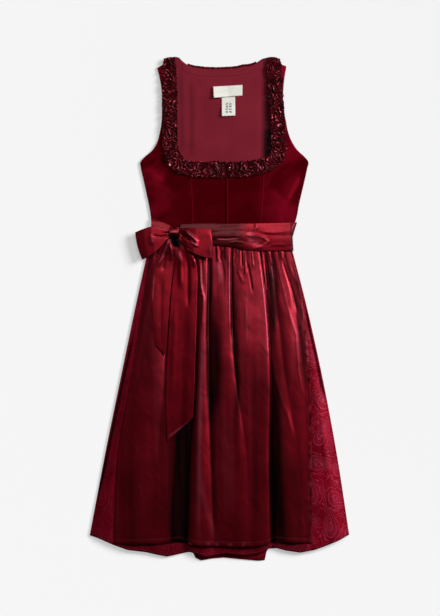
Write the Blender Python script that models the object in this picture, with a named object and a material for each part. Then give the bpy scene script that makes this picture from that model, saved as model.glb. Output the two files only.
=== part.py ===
"""A knee-length dirndl laid flat on its back: velvet bodice, ruched trim, satin sash with a bow,
gathered satin apron and jacquard skirt.

Lengths are millimetres until the mesh is written in metres. +X is the right side seen from above,
+Y points to the shoulders and +Z up from the surface that the dress lies on.
"""

import math

import bpy
import numpy as np
from mathutils import Vector
from mathutils.bvhtree import BVHTree

MM = 0.001

# Cloth walls
VELVET = 1.8
LINING = 1.2
JACQUARD = 1.8
SATIN = 1.4
RUFFLE = 1.4
LABEL = 1.0

# Gaps: between edges that are sewn together, and between layers that lie on each other
SEAM = 0.4
LAYER = 0.45

# Heights of the two flat backs
BACK_TOP = VELVET
LINING_TOP = BACK_TOP + LAYER + LINING

WAIST_Y = 169.9

# Outline of the bodice: a row per height, left and right edge
BODICE_SIDES = (
    # y, left, right
    (566.6, -146.6, 156.3),
    (543.6, -140.8, 152.3),
    (515.4, -136.3, 149.5),
    (473.1, -135.4, 149.9),
    (440.2, -136.3, 156.0),
    (416.7, -140.1, 160.7),
    (388.5, -148.3, 172.5),
    (372.0, -158.9, 184.2),
    (357.9, -175.3, 199.5),
    (346.2, -185.7, 208.4),
    (332.1, -184.7, 205.9),
    (303.9, -178.6, 199.8),
    (275.7, -172.5, 193.2),
    (247.5, -166.4, 186.6),
    (219.3, -161.7, 181.4),
    (195.8, -159.8, 174.8),
    (169.9, -159.3, 166.9),
)

# Upper edge of the back from the left shoulder to the right one, with the width of the trim behind it
BACK_EDGE = (
    # x, y, trim
    (-146.6, 566.6, 0),
    (-134.2, 574.1, 0),
    (-123.6, 588.7, 0),
    (-114.2, 592.0, 0),
    (-103.9, 593.4, 0),
    (-94.9, 591.0, 0),
    (-87.4, 583.0, 0),
    (-76.6, 577.9, 3.2),
    (-62.5, 573.6, 3.2),
    (-41.4, 570.3, 3.2),
    (-13.2, 568.7, 3.2),
    (17.4, 569.9, 3.2),
    (40.9, 571.5, 3.2),
    (52.6, 575.0, 3.2),
    (71.4, 576.5, 3.2),
    (87.9, 583.0, 3.2),
    (99.6, 588.2, 0),
    (116.1, 592.4, 0),
    (130.2, 592.9, 0),
    (141.5, 586.8, 0),
    (146.6, 574.1, 0),
    (156.3, 570.8, 0),
)
# Shoulder seams of the front: height at the armhole and at the neck
SHOULDER_LEFT = (566.6, 589.1)
SHOULDER_RIGHT = (570.8, 582.1)

# Inner edge of each side front: the strap edge, the corner of the neckline, then the princess seam
SIDE_FRONT_INNER = (
    # y, left piece, right piece
    (566.6, -104.8, 117.5),
    (473.1, -101.5, 120.8),
    (388.5, -98.9, 126.4),
    (369.7, -94.2, 124.6),
    (355.6, -84.8, 116.1),
    (341.5, -70.5, 101.1),
    (313.3, -69.6, 100.6),
    (256.9, -66.7, 97.8),
    (169.9, -63.5, 91.7),
)
CENTRE_X = 15.0
NECK_Y = 342.6

# Ruched trim: paired points of its inner and outer edge, from the shoulder or the corner on
TRIM_LEFT = (
    # inner x, inner y, outer x, outer y
    (-108.1, 592.0, -123.1, 592.9),
    (-103.9, 581.2, -131.6, 581.2),
    (-102.5, 562.4, -134.9, 562.4),
    (-99.6, 515.4, -134.4, 515.4),
    (-99.6, 444.9, -133.5, 444.9),
    (-97.8, 376.7, -133.5, 372.0),
)
TRIM_FRONT_LEFT = (
    # inner x, inner y, outer x, outer y
    (-97.3, 373.9, -133.0, 368.7),
    (-94.5, 361.7, -129.2, 349.9),
    (-88.4, 351.3, -115.6, 331.6),
    (-75.2, 346.2, -93.1, 317.0),
    (-50.8, 345.2, -60.2, 311.4),
    (-17.9, 346.2, -17.9, 308.6),
    (13.6, 345.7, 16.9, 310.0),
)
TRIM_RIGHT = (
    # inner x, inner y, outer x, outer y
    (123.1, 593.8, 138.7, 589.6),
    (114.7, 583.5, 142.9, 577.9),
    (112.8, 562.4, 144.8, 561.4),
    (114.2, 515.4, 146.6, 515.4),
    (119.9, 444.9, 153.7, 444.9),
    (122.2, 386.1, 156.0, 383.8),
)
TRIM_FRONT_RIGHT = (
    # inner x, inner y, outer x, outer y
    (122.2, 382.8, 156.0, 379.5),
    (121.3, 366.8, 151.8, 353.2),
    (114.7, 357.4, 138.7, 334.9),
    (98.7, 352.3, 116.1, 322.2),
    (73.8, 348.0, 78.5, 313.7),
    (47.9, 346.2, 49.1, 310.4),
    (17.9, 345.7, 21.2, 310.0),
)
WAVE_PITCH = 9.4
WAVE_HEIGHT = 3.4

# Fold lines of skirt and apron from left to right. Each row: the line's x at five heights, how deep it
# runs there as a share of the folds' height, and how many small gathers lie between it and the next.
FOLD_Y = (169.9, 21.9, -142.6, -330.6, -553.9)
FOLDS = (
    # name, x at the five heights, depth at the five heights, gathers to the next line
    ("left_side", (-161.2, -194.1, -228.4, -267.0, -309.3), (1, 1, 1, 1, 1), 1),
    ("left_strip", (-159.3, -189.9, -218.1, -251.7, -277.5), (0, 0.2, 0.3, 0.3, 0.3), 1),
    ("apron_left", (-157.5, -179.5, -203.0, -236.9, -248.2), (1, 0.6, 0.35, 0.2, 0.1), 3),
    ("bow_fold", (-114.2, -114.2, -126.0, -144.8, -163.6), (1, 0.9, 0.5, 0.2, 0), 3),
    ("deep_pocket", (-55.5, -53.1, -57.8, -70.7, -79.0), (0.8, 0.8, 0.8, 1, 1), 2),
    ("tie_edge", (-29.6, -24.9, -26.1, -20.2, -10.8), (0.8, 0.8, 0.7, 0.5, 0.35), 3),
    ("centre_fold", (28.0, 29.1, 36.2, 62.0, 71.4), (0.5, 0.5, 0.35, 0.15, 0.05), 4),
    ("sharp_fold", (90.2, 109.0, 120.8, 119.6, 123.1), (0.5, 0.7, 0.8, 0.7, 0.6), 2),
    ("slant_fold", (116.1, 132.5, 151.3, 181.9, 188.9), (0.5, 0.5, 0.45, 0.25, 0.1), 2),
    ("edge_fold", (144.3, 174.8, 196.0, 204.2, 206.6), (0.5, 0.4, 0.3, 0.1, 0), 1),
    ("apron_right", (157.0, 193.6, 211.0, 214.8, 215.7), (1, 0.7, 0.5, 0.4, 0.3), 3),
    ("right_strip", (158.9, 196.0, 220.9, 239.5, 254.7), (0, 0.1, 0.1, 0.1, 0.1), 2),
    ("right_outer", (160.5, 198.3, 229.8, 257.1, 282.9), (0, 0.1, 0.1, 0.1, 0.1), 1),
    ("right_side", (162.2, 200.7, 237.8, 273.5, 307.9), (1, 1, 1, 1, 1), 0),
)
APRON_FIRST = 2
APRON_LAST = 10

# Rows of skirt and apron as shares of the way from the waist to the apron's hem; one more is the skirt's
ROWS = (0, 0.045, 0.09, 0.14, 0.205, 0.29, 0.385, 0.48, 0.58, 0.68, 0.78, 0.88, 0.95, 1)

APRON_HEM = (
    # x, y
    (-309.3, -504.5),
    (-281.1, -521.0),
    (-248.2, -550.1),
    (-201.2, -550.6),
    (-140.1, -549.2),
    (-97.8, -544.5),
    (-46.1, -553.9),
    (5.6, -555.1),
    (71.4, -556.2),
    (99.6, -553.9),
    (132.5, -543.3),
    (165.4, -546.8),
    (214.8, -549.2),
    (259.4, -528.0),
    (307.9, -504.5),
)
SKIRT_HEM = (
    # x, y
    (-309.3, -529.2),
    (-285.8, -536.3),
    (-248.2, -552.5),
    (-215.3, -564.2),
    (-173.0, -569.4),
    (-144.8, -576.0),
    (-123.6, -580.2),
    (-88.4, -572.7),
    (-69.6, -568.9),
    (-32.0, -580.7),
    (15.0, -572.7),
    (57.3, -577.4),
    (94.9, -571.8),
    (123.1, -557.2),
    (156.0, -565.6),
    (188.9, -570.3),
    (221.8, -564.2),
    (250.0, -553.9),
    (278.2, -542.1),
    (307.9, -527.1),
)
BACK_HEM = (
    # x, y
    (-309.3, -518.6),
    (-163.6, -558.6),
    (-64.9, -564.5),
    (-57.8, -583.0),
    (-43.7, -590.1),
    (-17.9, -585.4),
    (10.3, -583.0),
    (47.9, -586.8),
    (90.2, -590.6),
    (106.7, -589.1),
    (111.4, -562.1),
    (188.9, -558.6),
    (307.9, -516.3),
)

# Sash across the front: a row per place from left to right, its upper and lower edge
SASH = (
    # x, upper y, lower y
    (-93.1, 199.5, 146.4),
    (-69.6, 200.5, 146.4),
    (-41.4, 201.4, 147.8),
    (-10.8, 201.9, 150.2),
    (24.4, 201.9, 146.4),
    (59.7, 201.9, 138.9),
    (99.6, 202.3, 136.5),
    (137.2, 203.3, 136.5),
    (164.5, 204.2, 137.0),
)
# Where the sash turns down at the right side: the side's place, then each step's offset and height
SASH_SIDE = (
    # y, x
    (205.2, 179.5),
    (169.9, 169.2),
    (137.0, 171.1),
)
SASH_TURN = (
    # offset, height
    (1.4, 6.6),
    (2.6, 2.6),
)
SASH_LEFT = (
    # x, upper y, lower y
    (-160.3, 213.1, 155.8),
    (-140.1, 207.0, 155.8),
    (-118.9, 199.0, 153.5),
    (-94.9, 192.0, 146.4),
)

# Bow loops: paired points of upper and lower edge from the knot out, with the lift of the loop's front
LOOP_LEFT = (
    # upper x, upper y, lower x, lower y, lift
    (-112.8, 184.0, -112.8, 172.3, 0.4),
    (-126.0, 187.3, -124.8, 161.4, 3.5),
    (-142.4, 192.5, -137.7, 145.5, 6.5),
    (-161.2, 193.4, -151.8, 132.3, 8),
    (-180.0, 187.3, -167.3, 122.4, 6.5),
    (-197.9, 179.8, -181.4, 115.9, 3),
)
LOOP_RIGHT = (
    # upper x, upper y, lower x, lower y, lift
    (-99.2, 186.4, -99.2, 171.3, 0.4),
    (-88.4, 188.7, -89.3, 155.8, 4),
    (-74.3, 190.1, -76.6, 139.4, 8),
    (-55.5, 190.1, -57.8, 129.0, 10),
    (-36.7, 188.7, -38.1, 121.5, 8),
    (-20.2, 187.3, -16.9, 118.2, 3.5),
)
KNOT_X = (-117.5, -94.5)
KNOT_Y = (189.6, 167.6)

TIE_LEFT = (
    # y, left, right
    (165.2, -124.6, -112.8),
    (153.5, -132.1, -110.9),
    (139.4, -141.5, -104.8),
    (125.3, -148.1, -103.4),
    (101.8, -152.8, -108.1),
    (68.9, -156.5, -112.3),
    (21.9, -158.9, -117.0),
    (-29.8, -156.0, -120.3),
    (-81.5, -150.4, -123.6),
)
TIE_RIGHT = (
    # y, left, right
    (165.2, -102.0, -93.1),
    (153.5, -97.3, -86.0),
    (139.4, -95.9, -71.9),
    (125.3, -101.0, -60.2),
    (101.8, -105.8, -53.1),
    (68.9, -110.0, -51.7),
    (21.9, -114.7, -53.1),
    (-29.8, -118.0, -54.5),
    (-81.5, -121.3, -55.5),
    (-142.6, -124.6, -57.8),
    (-201.4, -126.4, -59.7),
    (-250.7, -125.0, -62.5),
)
TIE_LEFT_CUT = (-85.1, -108.8)
TIE_RIGHT_CUT = (-311.8, -254.0)

BRAND_LABEL = ((-15.5, 522.4), (53.6, 526.6), (53.1, 501.7), (-14.1, 495.6))
SIZE_LABEL = ((4.7, 494.2), (36.2, 496.1), (36.7, 454.3), (5.2, 452.8))

COLOURS = {
    # part of the dress: colour, roughness, metallic
    "velvet": ((0.055, 0.002, 0.006), 0.8, 0.0),
    "lining": ((0.17, 0.018, 0.028), 0.7, 0.0),
    "ruffle": ((0.07, 0.002, 0.008), 0.6, 0.0),
    "satin": ((0.22, 0.018, 0.032), 0.35, 0.0),
    "jacquard": ((0.15, 0.006, 0.012), 0.55, 0.0),
    "label": ((0.8, 0.78, 0.72), 0.8, 0.0),
    "metal": ((0.75, 0.75, 0.76), 0.3, 1.0),
}

laid = []


def material(finish):
    found = bpy.data.materials.get(finish)
    if found:
        return found
    made = bpy.data.materials.new(finish)
    made.use_nodes = True
    shader = made.node_tree.nodes["Principled BSDF"]
    colour, roughness, metallic = COLOURS[finish]
    shader.inputs["Base Color"].default_value = (*colour, 1.0)
    shader.inputs["Roughness"].default_value = roughness
    shader.inputs["Metallic"].default_value = metallic
    return made


def normals(grid):
    """Unit normals of a grid of points that face up where the grid lies flat."""
    along = np.gradient(grid, axis=1)
    down = np.gradient(grid, axis=0)
    cross = np.cross(down, along)
    cross /= np.linalg.norm(cross, axis=2, keepdims=True)
    return cross


def lifted(grid, distance, most=2.0):
    """The grid raised so that the layer is this thick square to its slope."""
    steep = np.clip(1 / np.maximum(np.abs(normals(grid)[:, :, 2]), 0.1), 1, most)
    up = grid.copy()
    up[:, :, 2] += distance * steep
    return up


def spare_height(under):
    """How far the middle of a layer hangs over what is laid."""
    spare = 50.0
    for u in (0.0, 0.33, 0.67):
        for v in (0.0, 0.33, 0.67):
            near = under[:-1, :-1] * (1 - u) * (1 - v) + under[1:, :-1] * u * (1 - v)
            near = near + under[:-1, 1:] * (1 - u) * v + under[1:, 1:] * u * v
            for x, y, z in near.reshape(-1, 3):
                spare = min(spare, z - top_at(x, y))
    return spare


def rest_height(points, faces, start):
    """The lowest height change, from a start, at which a body no longer cuts what is laid."""
    rise = start
    while True:
        tree = BVHTree.FromPolygons((points + (0, 0, rise)).tolist(), faces)
        if not any(tree.overlap(other) for other in laid):
            return rise
        rise += 0.15


def sheet(name, under, over, finish, seated=False):
    """One closed body between two grids of points, with its diagonals bent away from its neighbours."""
    rows, columns = under.shape[:2]
    count = rows * columns
    points = np.vstack([under.reshape(-1, 3), over.reshape(-1, 3)])
    faces = []
    for r in range(rows - 1):
        for c in range(columns - 1):
            a = r * columns + c
            b, d, e = a + 1, a + columns, a + columns + 1
            if under[r, c, 2] + under[r + 1, c + 1, 2] >= under[r, c + 1, 2] + under[r + 1, c, 2]:
                faces += [(a, e, d), (a, b, e)]
            else:
                faces += [(a, b, d), (b, e, d)]
            a, b, d, e = a + count, b + count, d + count, e + count
            if over[r, c, 2] + over[r + 1, c + 1, 2] <= over[r, c + 1, 2] + over[r + 1, c, 2]:
                faces += [(a, d, e), (a, e, b)]
            else:
                faces += [(a, d, b), (d, e, b)]
    rim = [r * columns for r in range(rows)]
    rim += [(rows - 1) * columns + c for c in range(1, columns)]
    rim += [r * columns + columns - 1 for r in range(rows - 2, -1, -1)]
    rim += [c for c in range(columns - 2, 0, -1)]
    for i, here in enumerate(rim):
        there = rim[(i + 1) % len(rim)]
        faces += [(here, there, there + count), (here, there + count, here + count)]
    corners = points[np.array(faces)]
    volume = np.einsum("ij,ij->i", corners[:, 0], np.cross(corners[:, 1], corners[:, 2])).sum()
    if volume < 0:
        faces = [face[::-1] for face in faces]
    if seated:
        points = points + (0, 0, rest_height(points, faces, -spare_height(under)) + LAYER * 0.7)
    mesh = bpy.data.meshes.new(name)
    mesh.from_pydata((points * MM).tolist(), [], faces)
    mesh.update()
    item = bpy.data.objects.new(name, mesh)
    bpy.context.collection.objects.link(item)
    mesh.materials.append(material(finish))
    laid.append(BVHTree.FromPolygons(points.tolist(), faces))
    return item


def shell(name, middle, thickness, finish, seated=True):
    """One closed body of even thickness about a grid of points."""
    out = normals(middle) * thickness / 2
    return sheet(name, middle - out, middle + out, finish, seated)


def top_at(x, y):
    height = 0.0
    for tree in laid:
        hit = tree.ray_cast(Vector((x, y, 300.0)), Vector((0, 0, -1)))[0]
        if hit is not None:
            height = max(height, hit.z)
    return height


def settle(x, y, reach):
    """Heights at which a layer rests over all that is laid: a grid that stays clear of the folds below."""
    spots = [(0.0, 0.0)]
    for share in (0.5, 1.0):
        for i in range(8):
            turn = math.tau * (i + share) / 8
            spots.append((share * reach * math.cos(turn), share * reach * math.sin(turn)))
    height = np.array([[max(top_at(a + u, b + v) for u, v in spots) for a, b in zip(p, q)]
                       for p, q in zip(x, y)])
    wide = np.pad(height, 1, mode="edge")
    shifts = [(i, j) for i in range(3) for j in range(3)]
    rows, columns = height.shape
    most = np.max([wide[i:i + rows, j:j + columns] for i, j in shifts], axis=0)
    wide = np.pad(most, 1, mode="edge")
    return np.mean([wide[i:i + rows, j:j + columns] for i, j in shifts], axis=0)


def stack(x, y, z):
    return np.stack([x, y, z], axis=2)


def smooth(t):
    t = np.clip(t, 0, 1)
    return t * t * (3 - 2 * t)


def at(table, column, y):
    """A table's column at given heights, where the table runs from the shoulders down."""
    rows = np.array(table)[::-1]
    return np.interp(y, rows[:, 0], rows[:, column])


def back_bodice():
    edge = np.array(BACK_EDGE)
    s = ((edge[:, 0] - edge[0, 0]) / (edge[-1, 0] - edge[0, 0]))[None, :]
    y = np.array([row[0] for row in BODICE_SIDES])[:, None]
    left, right = at(BODICE_SIDES, 1, y), at(BODICE_SIDES, 2, y)
    x = left + (right - left) * s
    y = y + 0 * x
    y[0] = edge[:, 1] - edge[:, 2]
    y[-1] += SEAM
    floor = stack(x, y, 0 * x)
    sheet("bodice_back", floor, floor + (0, 0, VELVET), "velvet")
    inset = 3.0
    x = left + inset + (right - left - 2 * inset) * s
    y[0] -= inset
    base = stack(x, y, 0 * x + BACK_TOP + LAYER)
    sheet("bodice_back_lining", base, base + (0, 0, LINING), "lining")
    x = np.linspace(-79.0, 92.6, 12)[None, :]
    y = np.interp(x, edge[:, 0], edge[:, 1]) - np.array([7.5, 22.0])[:, None]
    base = stack(x + 0 * y, y, 0 * y + LINING_TOP + LAYER)
    sheet("neck_facing", base, base + (0, 0, LINING), "lining")


def bust(x, y):
    """How far the front stands off the back: most beside the princess seams, none at the side seams."""
    left, right = at(BODICE_SIDES, 1, y), at(BODICE_SIDES, 2, y)
    edge = smooth(np.minimum(x - left, right - x) / 75)
    tall = smooth((397.9 - y) / 55) * (1 - 0.55 * smooth((266.3 - y) / 60))
    side = np.exp(-((x - -69.6) / 55) ** 2) + np.exp(-((x - 99.6) / 55) ** 2)
    return edge * tall * (2.4 + 4.2 * side)


def front_bodice():
    strap = [566.6, 529.5, 473.1, 426.1]
    y = np.array(strap + [row[0] for row in BODICE_SIDES[6:]])[:, None]
    base = LINING_TOP + LAYER
    for name, edge, shoulder in (("bodice_side_front_left", 1, SHOULDER_LEFT),
                                 ("bodice_side_front_right", 2, SHOULDER_RIGHT)):
        inner = at(SIDE_FRONT_INNER, edge, y)
        outer = at(BODICE_SIDES, edge, y)
        s = np.array([0, 0.12, 0.3, 0.5, 0.7, 0.88, 1])[None, :]
        x = outer + (inner - outer) * s
        rows = y + 0 * x
        rows[0] = shoulder[0] + (shoulder[1] - shoulder[0]) * s
        rows[-1] = WAIST_Y + SEAM
        if edge == 2:
            x, rows = x[:, ::-1], rows[:, ::-1]
        under = stack(x, rows, base + bust(x, rows))
        sheet(name, under, lifted(under, VELVET), "velvet")
    y = np.array([NECK_Y, 332.1, 303.9, 275.7, 247.5, 219.3, 195.8, WAIST_Y + SEAM])[:, None]
    for name, edge, lean in (("bodice_centre_front_left", 1, 1), ("bodice_centre_front_right", 2, -1)):
        seam = at(SIDE_FRONT_INNER, edge, y) + lean * SEAM
        seam[0] = -70.5 + SEAM if edge == 1 else 101.1 - SEAM
        middle = CENTRE_X - lean * SEAM / 2 + 0 * y
        ends = (seam, middle) if edge == 1 else (middle, seam)
        s = np.linspace(0, 1, 6)[None, :]
        x = ends[0] + (ends[1] - ends[0]) * s
        rows = y + 0 * x
        under = stack(x, rows, base + bust(x, rows))
        sheet(name, under, lifted(under, VELVET), "velvet")
    y = np.linspace(307.1, 205.2, 8)[:, None]
    x = CENTRE_X + np.array([-0.4, 1.2, 3.2, 4.6])[None, :] + 0 * y
    y = y + 0 * x
    under = stack(x, y, settle(x, y, 1.5) + LAYER)
    over = under + (0, 0, 1.2)
    over[:, 1:3, 2] += 0.5
    sheet("front_placket", under, over, "velvet", True)


def ruffle(name, table, lift=0.0):
    """Ruched strip along paired edge points: waves across it, higher at its edges, a stitched middle."""
    rows = np.array(table)
    middle = (rows[:, :2] + rows[:, 2:]) / 2
    length = np.concatenate([[0], np.cumsum(np.linalg.norm(np.diff(middle, axis=0), axis=1))])
    waves = round(length[-1] / WAVE_PITCH)
    steps = waves * 4 + 1
    along = np.linspace(0, length[-1], steps)
    ends = [np.interp(along, length, rows[:, k]) for k in range(4)]
    phase = 0.5 - 0.5 * np.cos(math.tau * np.arange(steps) / 4)
    swell = 1 + 0.3 * np.sin(np.arange(steps) * 0.83) + 0.2 * np.sin(np.arange(steps) * 0.31)
    across = np.array([0.0, 0.5, 1.0])
    height = np.array([1.0, 0.6, 1.0])
    puff = np.array([0.0, 1.5, 0.0])
    x = ends[0][:, None] + (ends[2] - ends[0])[:, None] * across[None, :]
    y = ends[1][:, None] + (ends[3] - ends[1])[:, None] * across[None, :]
    push = (phase * swell * 1.1 - 0.5)[:, None] * np.array([-1.0, 0, 1.0])[None, :]
    step = np.stack([ends[2] - ends[0], ends[3] - ends[1]], axis=1)
    step /= np.linalg.norm(step, axis=1, keepdims=True)
    lean = (1.4 * np.sin(np.arange(steps) * 0.67))[:, None] * np.array([-1.0, 0, 1.0])[None, :]
    x = x + push * step[:, :1] - lean * step[:, 1:]
    y = y + push * step[:, 1:] + lean * step[:, :1]
    rest = settle(x, y, 3.0)
    kernel = np.ones(9) / 9
    crown = np.array([rest[max(0, i - 4):i + 5].max() for i in range(steps)])
    crown = np.convolve(np.pad(crown, 4, mode="edge"), kernel, mode="valid")
    z = crown[:, None] + LAYER + RUFFLE * 0.75 + lift
    z = z + (phase * swell)[:, None] * WAVE_HEIGHT * height[None, :] + puff[None, :]
    shell(name, stack(x, y, z), RUFFLE, "ruffle", False)


def fold_columns(first, last, per_gather):
    """Positions along the fold lines: whole numbers are lines, and a gather's share lies between."""
    spots = []
    for k in range(first, last):
        steps = FOLDS[k][3] * per_gather
        spots += [k + i / steps for i in range(steps)]
    return np.array(spots + [float(last)])


def fold_grid(spots, shares, hem=None):
    """x and y of the skirt's grid, whose columns run along the fold lines."""
    lines = np.arange(len(FOLDS))
    heights = np.array(FOLD_Y)[::-1]
    x = np.zeros((len(shares), len(spots)))
    y = np.zeros_like(x)
    apron_hem, skirt_hem = np.array(APRON_HEM), np.array(SKIRT_HEM)
    for r, share in enumerate(shares):
        row = np.interp(spots, lines, [fold[1][0] for fold in FOLDS])
        down = np.full(len(spots), WAIST_Y)
        for _ in range(4):
            end = np.interp(row, apron_hem[:, 0], apron_hem[:, 1])
            down = WAIST_Y + (end - WAIST_Y) * min(share, 1.0)
            if share > 1:
                down = np.interp(row, skirt_hem[:, 0], skirt_hem[:, 1])
            level = [np.array(fold[1])[::-1] for fold in FOLDS]
            whole = np.array([[np.interp(d, heights, line) for line in level] for d in down])
            row = np.array([np.interp(s, lines, w) for s, w in zip(spots, whole)])
        x[r], y[r] = row, down
    y[0] -= SEAM
    return x, y


def depth_at(k, y):
    return np.interp(y, np.array(FOLD_Y)[::-1], np.array(FOLDS[k][2])[::-1])


def line_at(k, y):
    return np.interp(y, np.array(FOLD_Y)[::-1], np.array(FOLDS[k][1])[::-1])


def valleys(x, y, first, last, width):
    """How much of the folds' height is left at each point: none in the bottom of a full fold line."""
    left = np.ones_like(x)
    for k in range(first, last + 1):
        near = np.exp(-np.abs(x - line_at(k, y)) / width)
        left = left * (1 - depth_at(k, y) * near)
    return left


def skirt_and_apron():
    shares = np.array(ROWS + (1.03,))
    spots = fold_columns(0, len(FOLDS) - 1, 2)
    x, y = fold_grid(spots, shares)
    run = np.clip((WAIST_Y - y) / (WAIST_Y - FOLD_Y[4]), 0, 1)
    rise = 1.6 + 7.5 * smooth(run * 2.4)
    side = smooth(np.minimum(x - line_at(0, y), line_at(len(FOLDS) - 1, y) - x) / 30 + 0.02)
    z = LAYER + BACK_TOP + rise * side * valleys(x, y, 1, len(FOLDS) - 2, 13)
    under = stack(x, y, z)
    over = lifted(under, JACQUARD)
    sheet("skirt_front", under, over, "jacquard")

    fine = fold_columns(APRON_FIRST, APRON_LAST, 4)
    rows = len(ROWS)
    grid = np.array([[np.interp(fine, spots, over[r, :, k]) for k in range(3)] for r in range(rows)])
    grid = np.transpose(grid, (0, 2, 1))
    base = lifted(grid, LAYER, 3.0)
    x, y = grid[:, :, 0], grid[:, :, 1]
    run = np.clip((WAIST_Y - y) / (WAIST_Y - FOLD_Y[4]), 0, 1)
    gathers = np.zeros(len(fine))
    for k in range(APRON_FIRST, APRON_LAST):
        inside = (fine >= k) & (fine <= k + 1)
        gathers[inside] = np.abs(np.sin(math.pi * FOLDS[k][3] * (fine[inside] - k))) ** 0.8
    small = 3.0 * np.exp(-((run / 0.2) ** 2))
    rise = 0.4 + 6.5 * smooth(run * 2.6)
    extra = rise * valleys(x, y, APRON_FIRST, APRON_LAST, 9)
    edges = smooth(np.minimum(x - line_at(APRON_FIRST, y), line_at(APRON_LAST, y) - x) / 14)
    base[:, :, 2] += (extra * edges) + small * gathers[None, :]
    sheet("apron", base, lifted(base, SATIN), "satin")


def back_skirt():
    spots = np.sort(np.concatenate([np.linspace(-309.3, 307.9, 15),
                                    [-64.9, -57.8, -43.7, 106.7, 111.4]]))
    hem = np.array(BACK_HEM)
    s = (spots - spots[0]) / (spots[-1] - spots[0])
    shares = np.array([0, 0.15, 0.4, 0.7, 0.93, 1])
    last = len(FOLDS) - 1
    low = np.interp(spots, hem[:, 0], hem[:, 1])
    y = WAIST_Y - SEAM - 22 + (low - WAIST_Y + 22)[None, :] * shares[:, None]
    left, right = line_at(0, y), line_at(last, y)
    x = left + (right - left) * s[None, :]
    floor = stack(x, y, 0 * x)
    sheet("skirt_back", floor, floor + (0, 0, JACQUARD), "jacquard")
    s = np.linspace(0, 1, 5)[None, :]
    y = np.array([WAIST_Y, WAIST_Y - 22])[:, None]
    x = -159.8 + (168.7 - -159.8) * s + 0 * y
    floor = stack(x, y + 0 * x, 0 * x)
    sheet("sash_back", floor, floor + (0, 0, SATIN), "satin")


def band(name, table, rows, pleats, turned=False):
    """Sash stretch: soft pleats run along it and crowd where it narrows."""
    data = np.array(table)
    x_spots = np.unique(np.concatenate([data[:, 0], (data[:-1, 0] + data[1:, 0]) / 2]))
    v = np.linspace(0, 1, rows)[:, None]
    upper = np.interp(x_spots, data[:, 0], data[:, 1])[None, :]
    lower = np.interp(x_spots, data[:, 0], data[:, 2])[None, :]
    x = x_spots[None, :] + 0 * v
    y = upper + (lower - upper) * v
    z = settle(x, y, 9.0) + LAYER + SATIN * 0.8
    z = z.max(axis=0)[None, :] * 0.7 + z * 0.3
    wave = np.abs(np.sin(math.pi * (pleats * v + 0.25 * np.sin(x / 31))))
    z = z + 1.9 * wave + 1.2 * np.sin(math.pi * v)
    grid = stack(x, y, z)
    if turned:
        side = at(SASH_SIDE, 1, y[:, -1])
        tail = [np.stack([side + out, y[:, -1], 0 * side + height], axis=1) for out, height in SASH_TURN]
        grid = np.concatenate([grid, np.stack(tail, axis=1)], axis=1)
    shell(name, grid, SATIN, "satin")


def loop(name, table, rows):
    """Bow loop: its back layer runs out from the knot, turns at the outer edge and comes back on top."""
    data = np.array(table)
    reach = np.linspace(0, 1, len(data))
    out = np.array([0, 0.25, 0.5, 0.75, 0.94])
    path = np.concatenate([out, [1.0], out[::-1]])
    v = np.linspace(0, 1, rows)
    cols = [np.interp(path, reach, data[:, k]) for k in range(5)]
    x = cols[0][None, :] + (cols[2] - cols[0])[None, :] * v[:, None]
    y = cols[1][None, :] + (cols[3] - cols[1])[None, :] * v[:, None]
    bulge = 3.0 * np.sin(math.pi * v)[:, None] * path[None, :] ** 6
    x = x + bulge * (1 if data[-1, 0] > data[0, 0] else -1)
    n = len(out)
    ground = settle(x[:, :n], y[:, :n], 6.0)
    ground = ground.max() * 0.75 + ground * 0.25 + LAYER + SATIN * 0.6
    low = ground.copy()
    ridge = np.abs(np.sin(math.pi * 2.5 * v))[:, None]
    crease = 2.2 * ridge * np.sin(math.pi * np.clip(out, 0, 1) ** 0.6)[None, :]
    high = low + SATIN + 0.9 + cols[4][:n][None, :] + crease
    fold = (low[:, -1:] + high[:, -1:]) / 2
    z = np.concatenate([low, fold, high[:, ::-1]], axis=1)
    grid = stack(x, y, z)
    shell(name, grid[::-1] if data[-1, 0] > data[0, 0] else grid, SATIN, "satin")


def knot():
    x = np.linspace(KNOT_X[0], KNOT_X[1], 5)
    turn = np.linspace(0, math.pi, 11)
    middle, half = (KNOT_Y[0] + KNOT_Y[1]) / 2, (KNOT_Y[0] - KNOT_Y[1]) / 2
    y = middle + half * np.sign(np.cos(turn)) * np.abs(np.cos(turn)) ** 0.7
    flat_x, flat_y = np.meshgrid(x, np.linspace(KNOT_Y[1] + 4, KNOT_Y[0] - 4, 5))
    top = max(top_at(a, b) for a, b in zip(flat_x.ravel(), flat_y.ravel())) + LAYER + 2.2
    foot_x, foot_y = np.meshgrid(x, np.array([KNOT_Y[1] - 1, KNOT_Y[1] + 1, KNOT_Y[0] - 1, KNOT_Y[0] + 1]))
    foot = max(top_at(a, b) for a, b in zip(foot_x.ravel(), foot_y.ravel())) + LAYER + 0.2
    z = foot + (top - foot) * np.sin(turn) ** 0.5
    round_off = 1.4 * (np.abs(np.linspace(-1, 1, 5)) ** 2)
    grid = stack(x[None, :] + 0 * y[:, None], y[:, None] + 0 * x[None, :], z[:, None] + 0 * x[None, :])
    grid[2:-2, :, 2] -= round_off[None, :] * 0.6
    shell("bow_knot", grid, SATIN, "satin")


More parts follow.
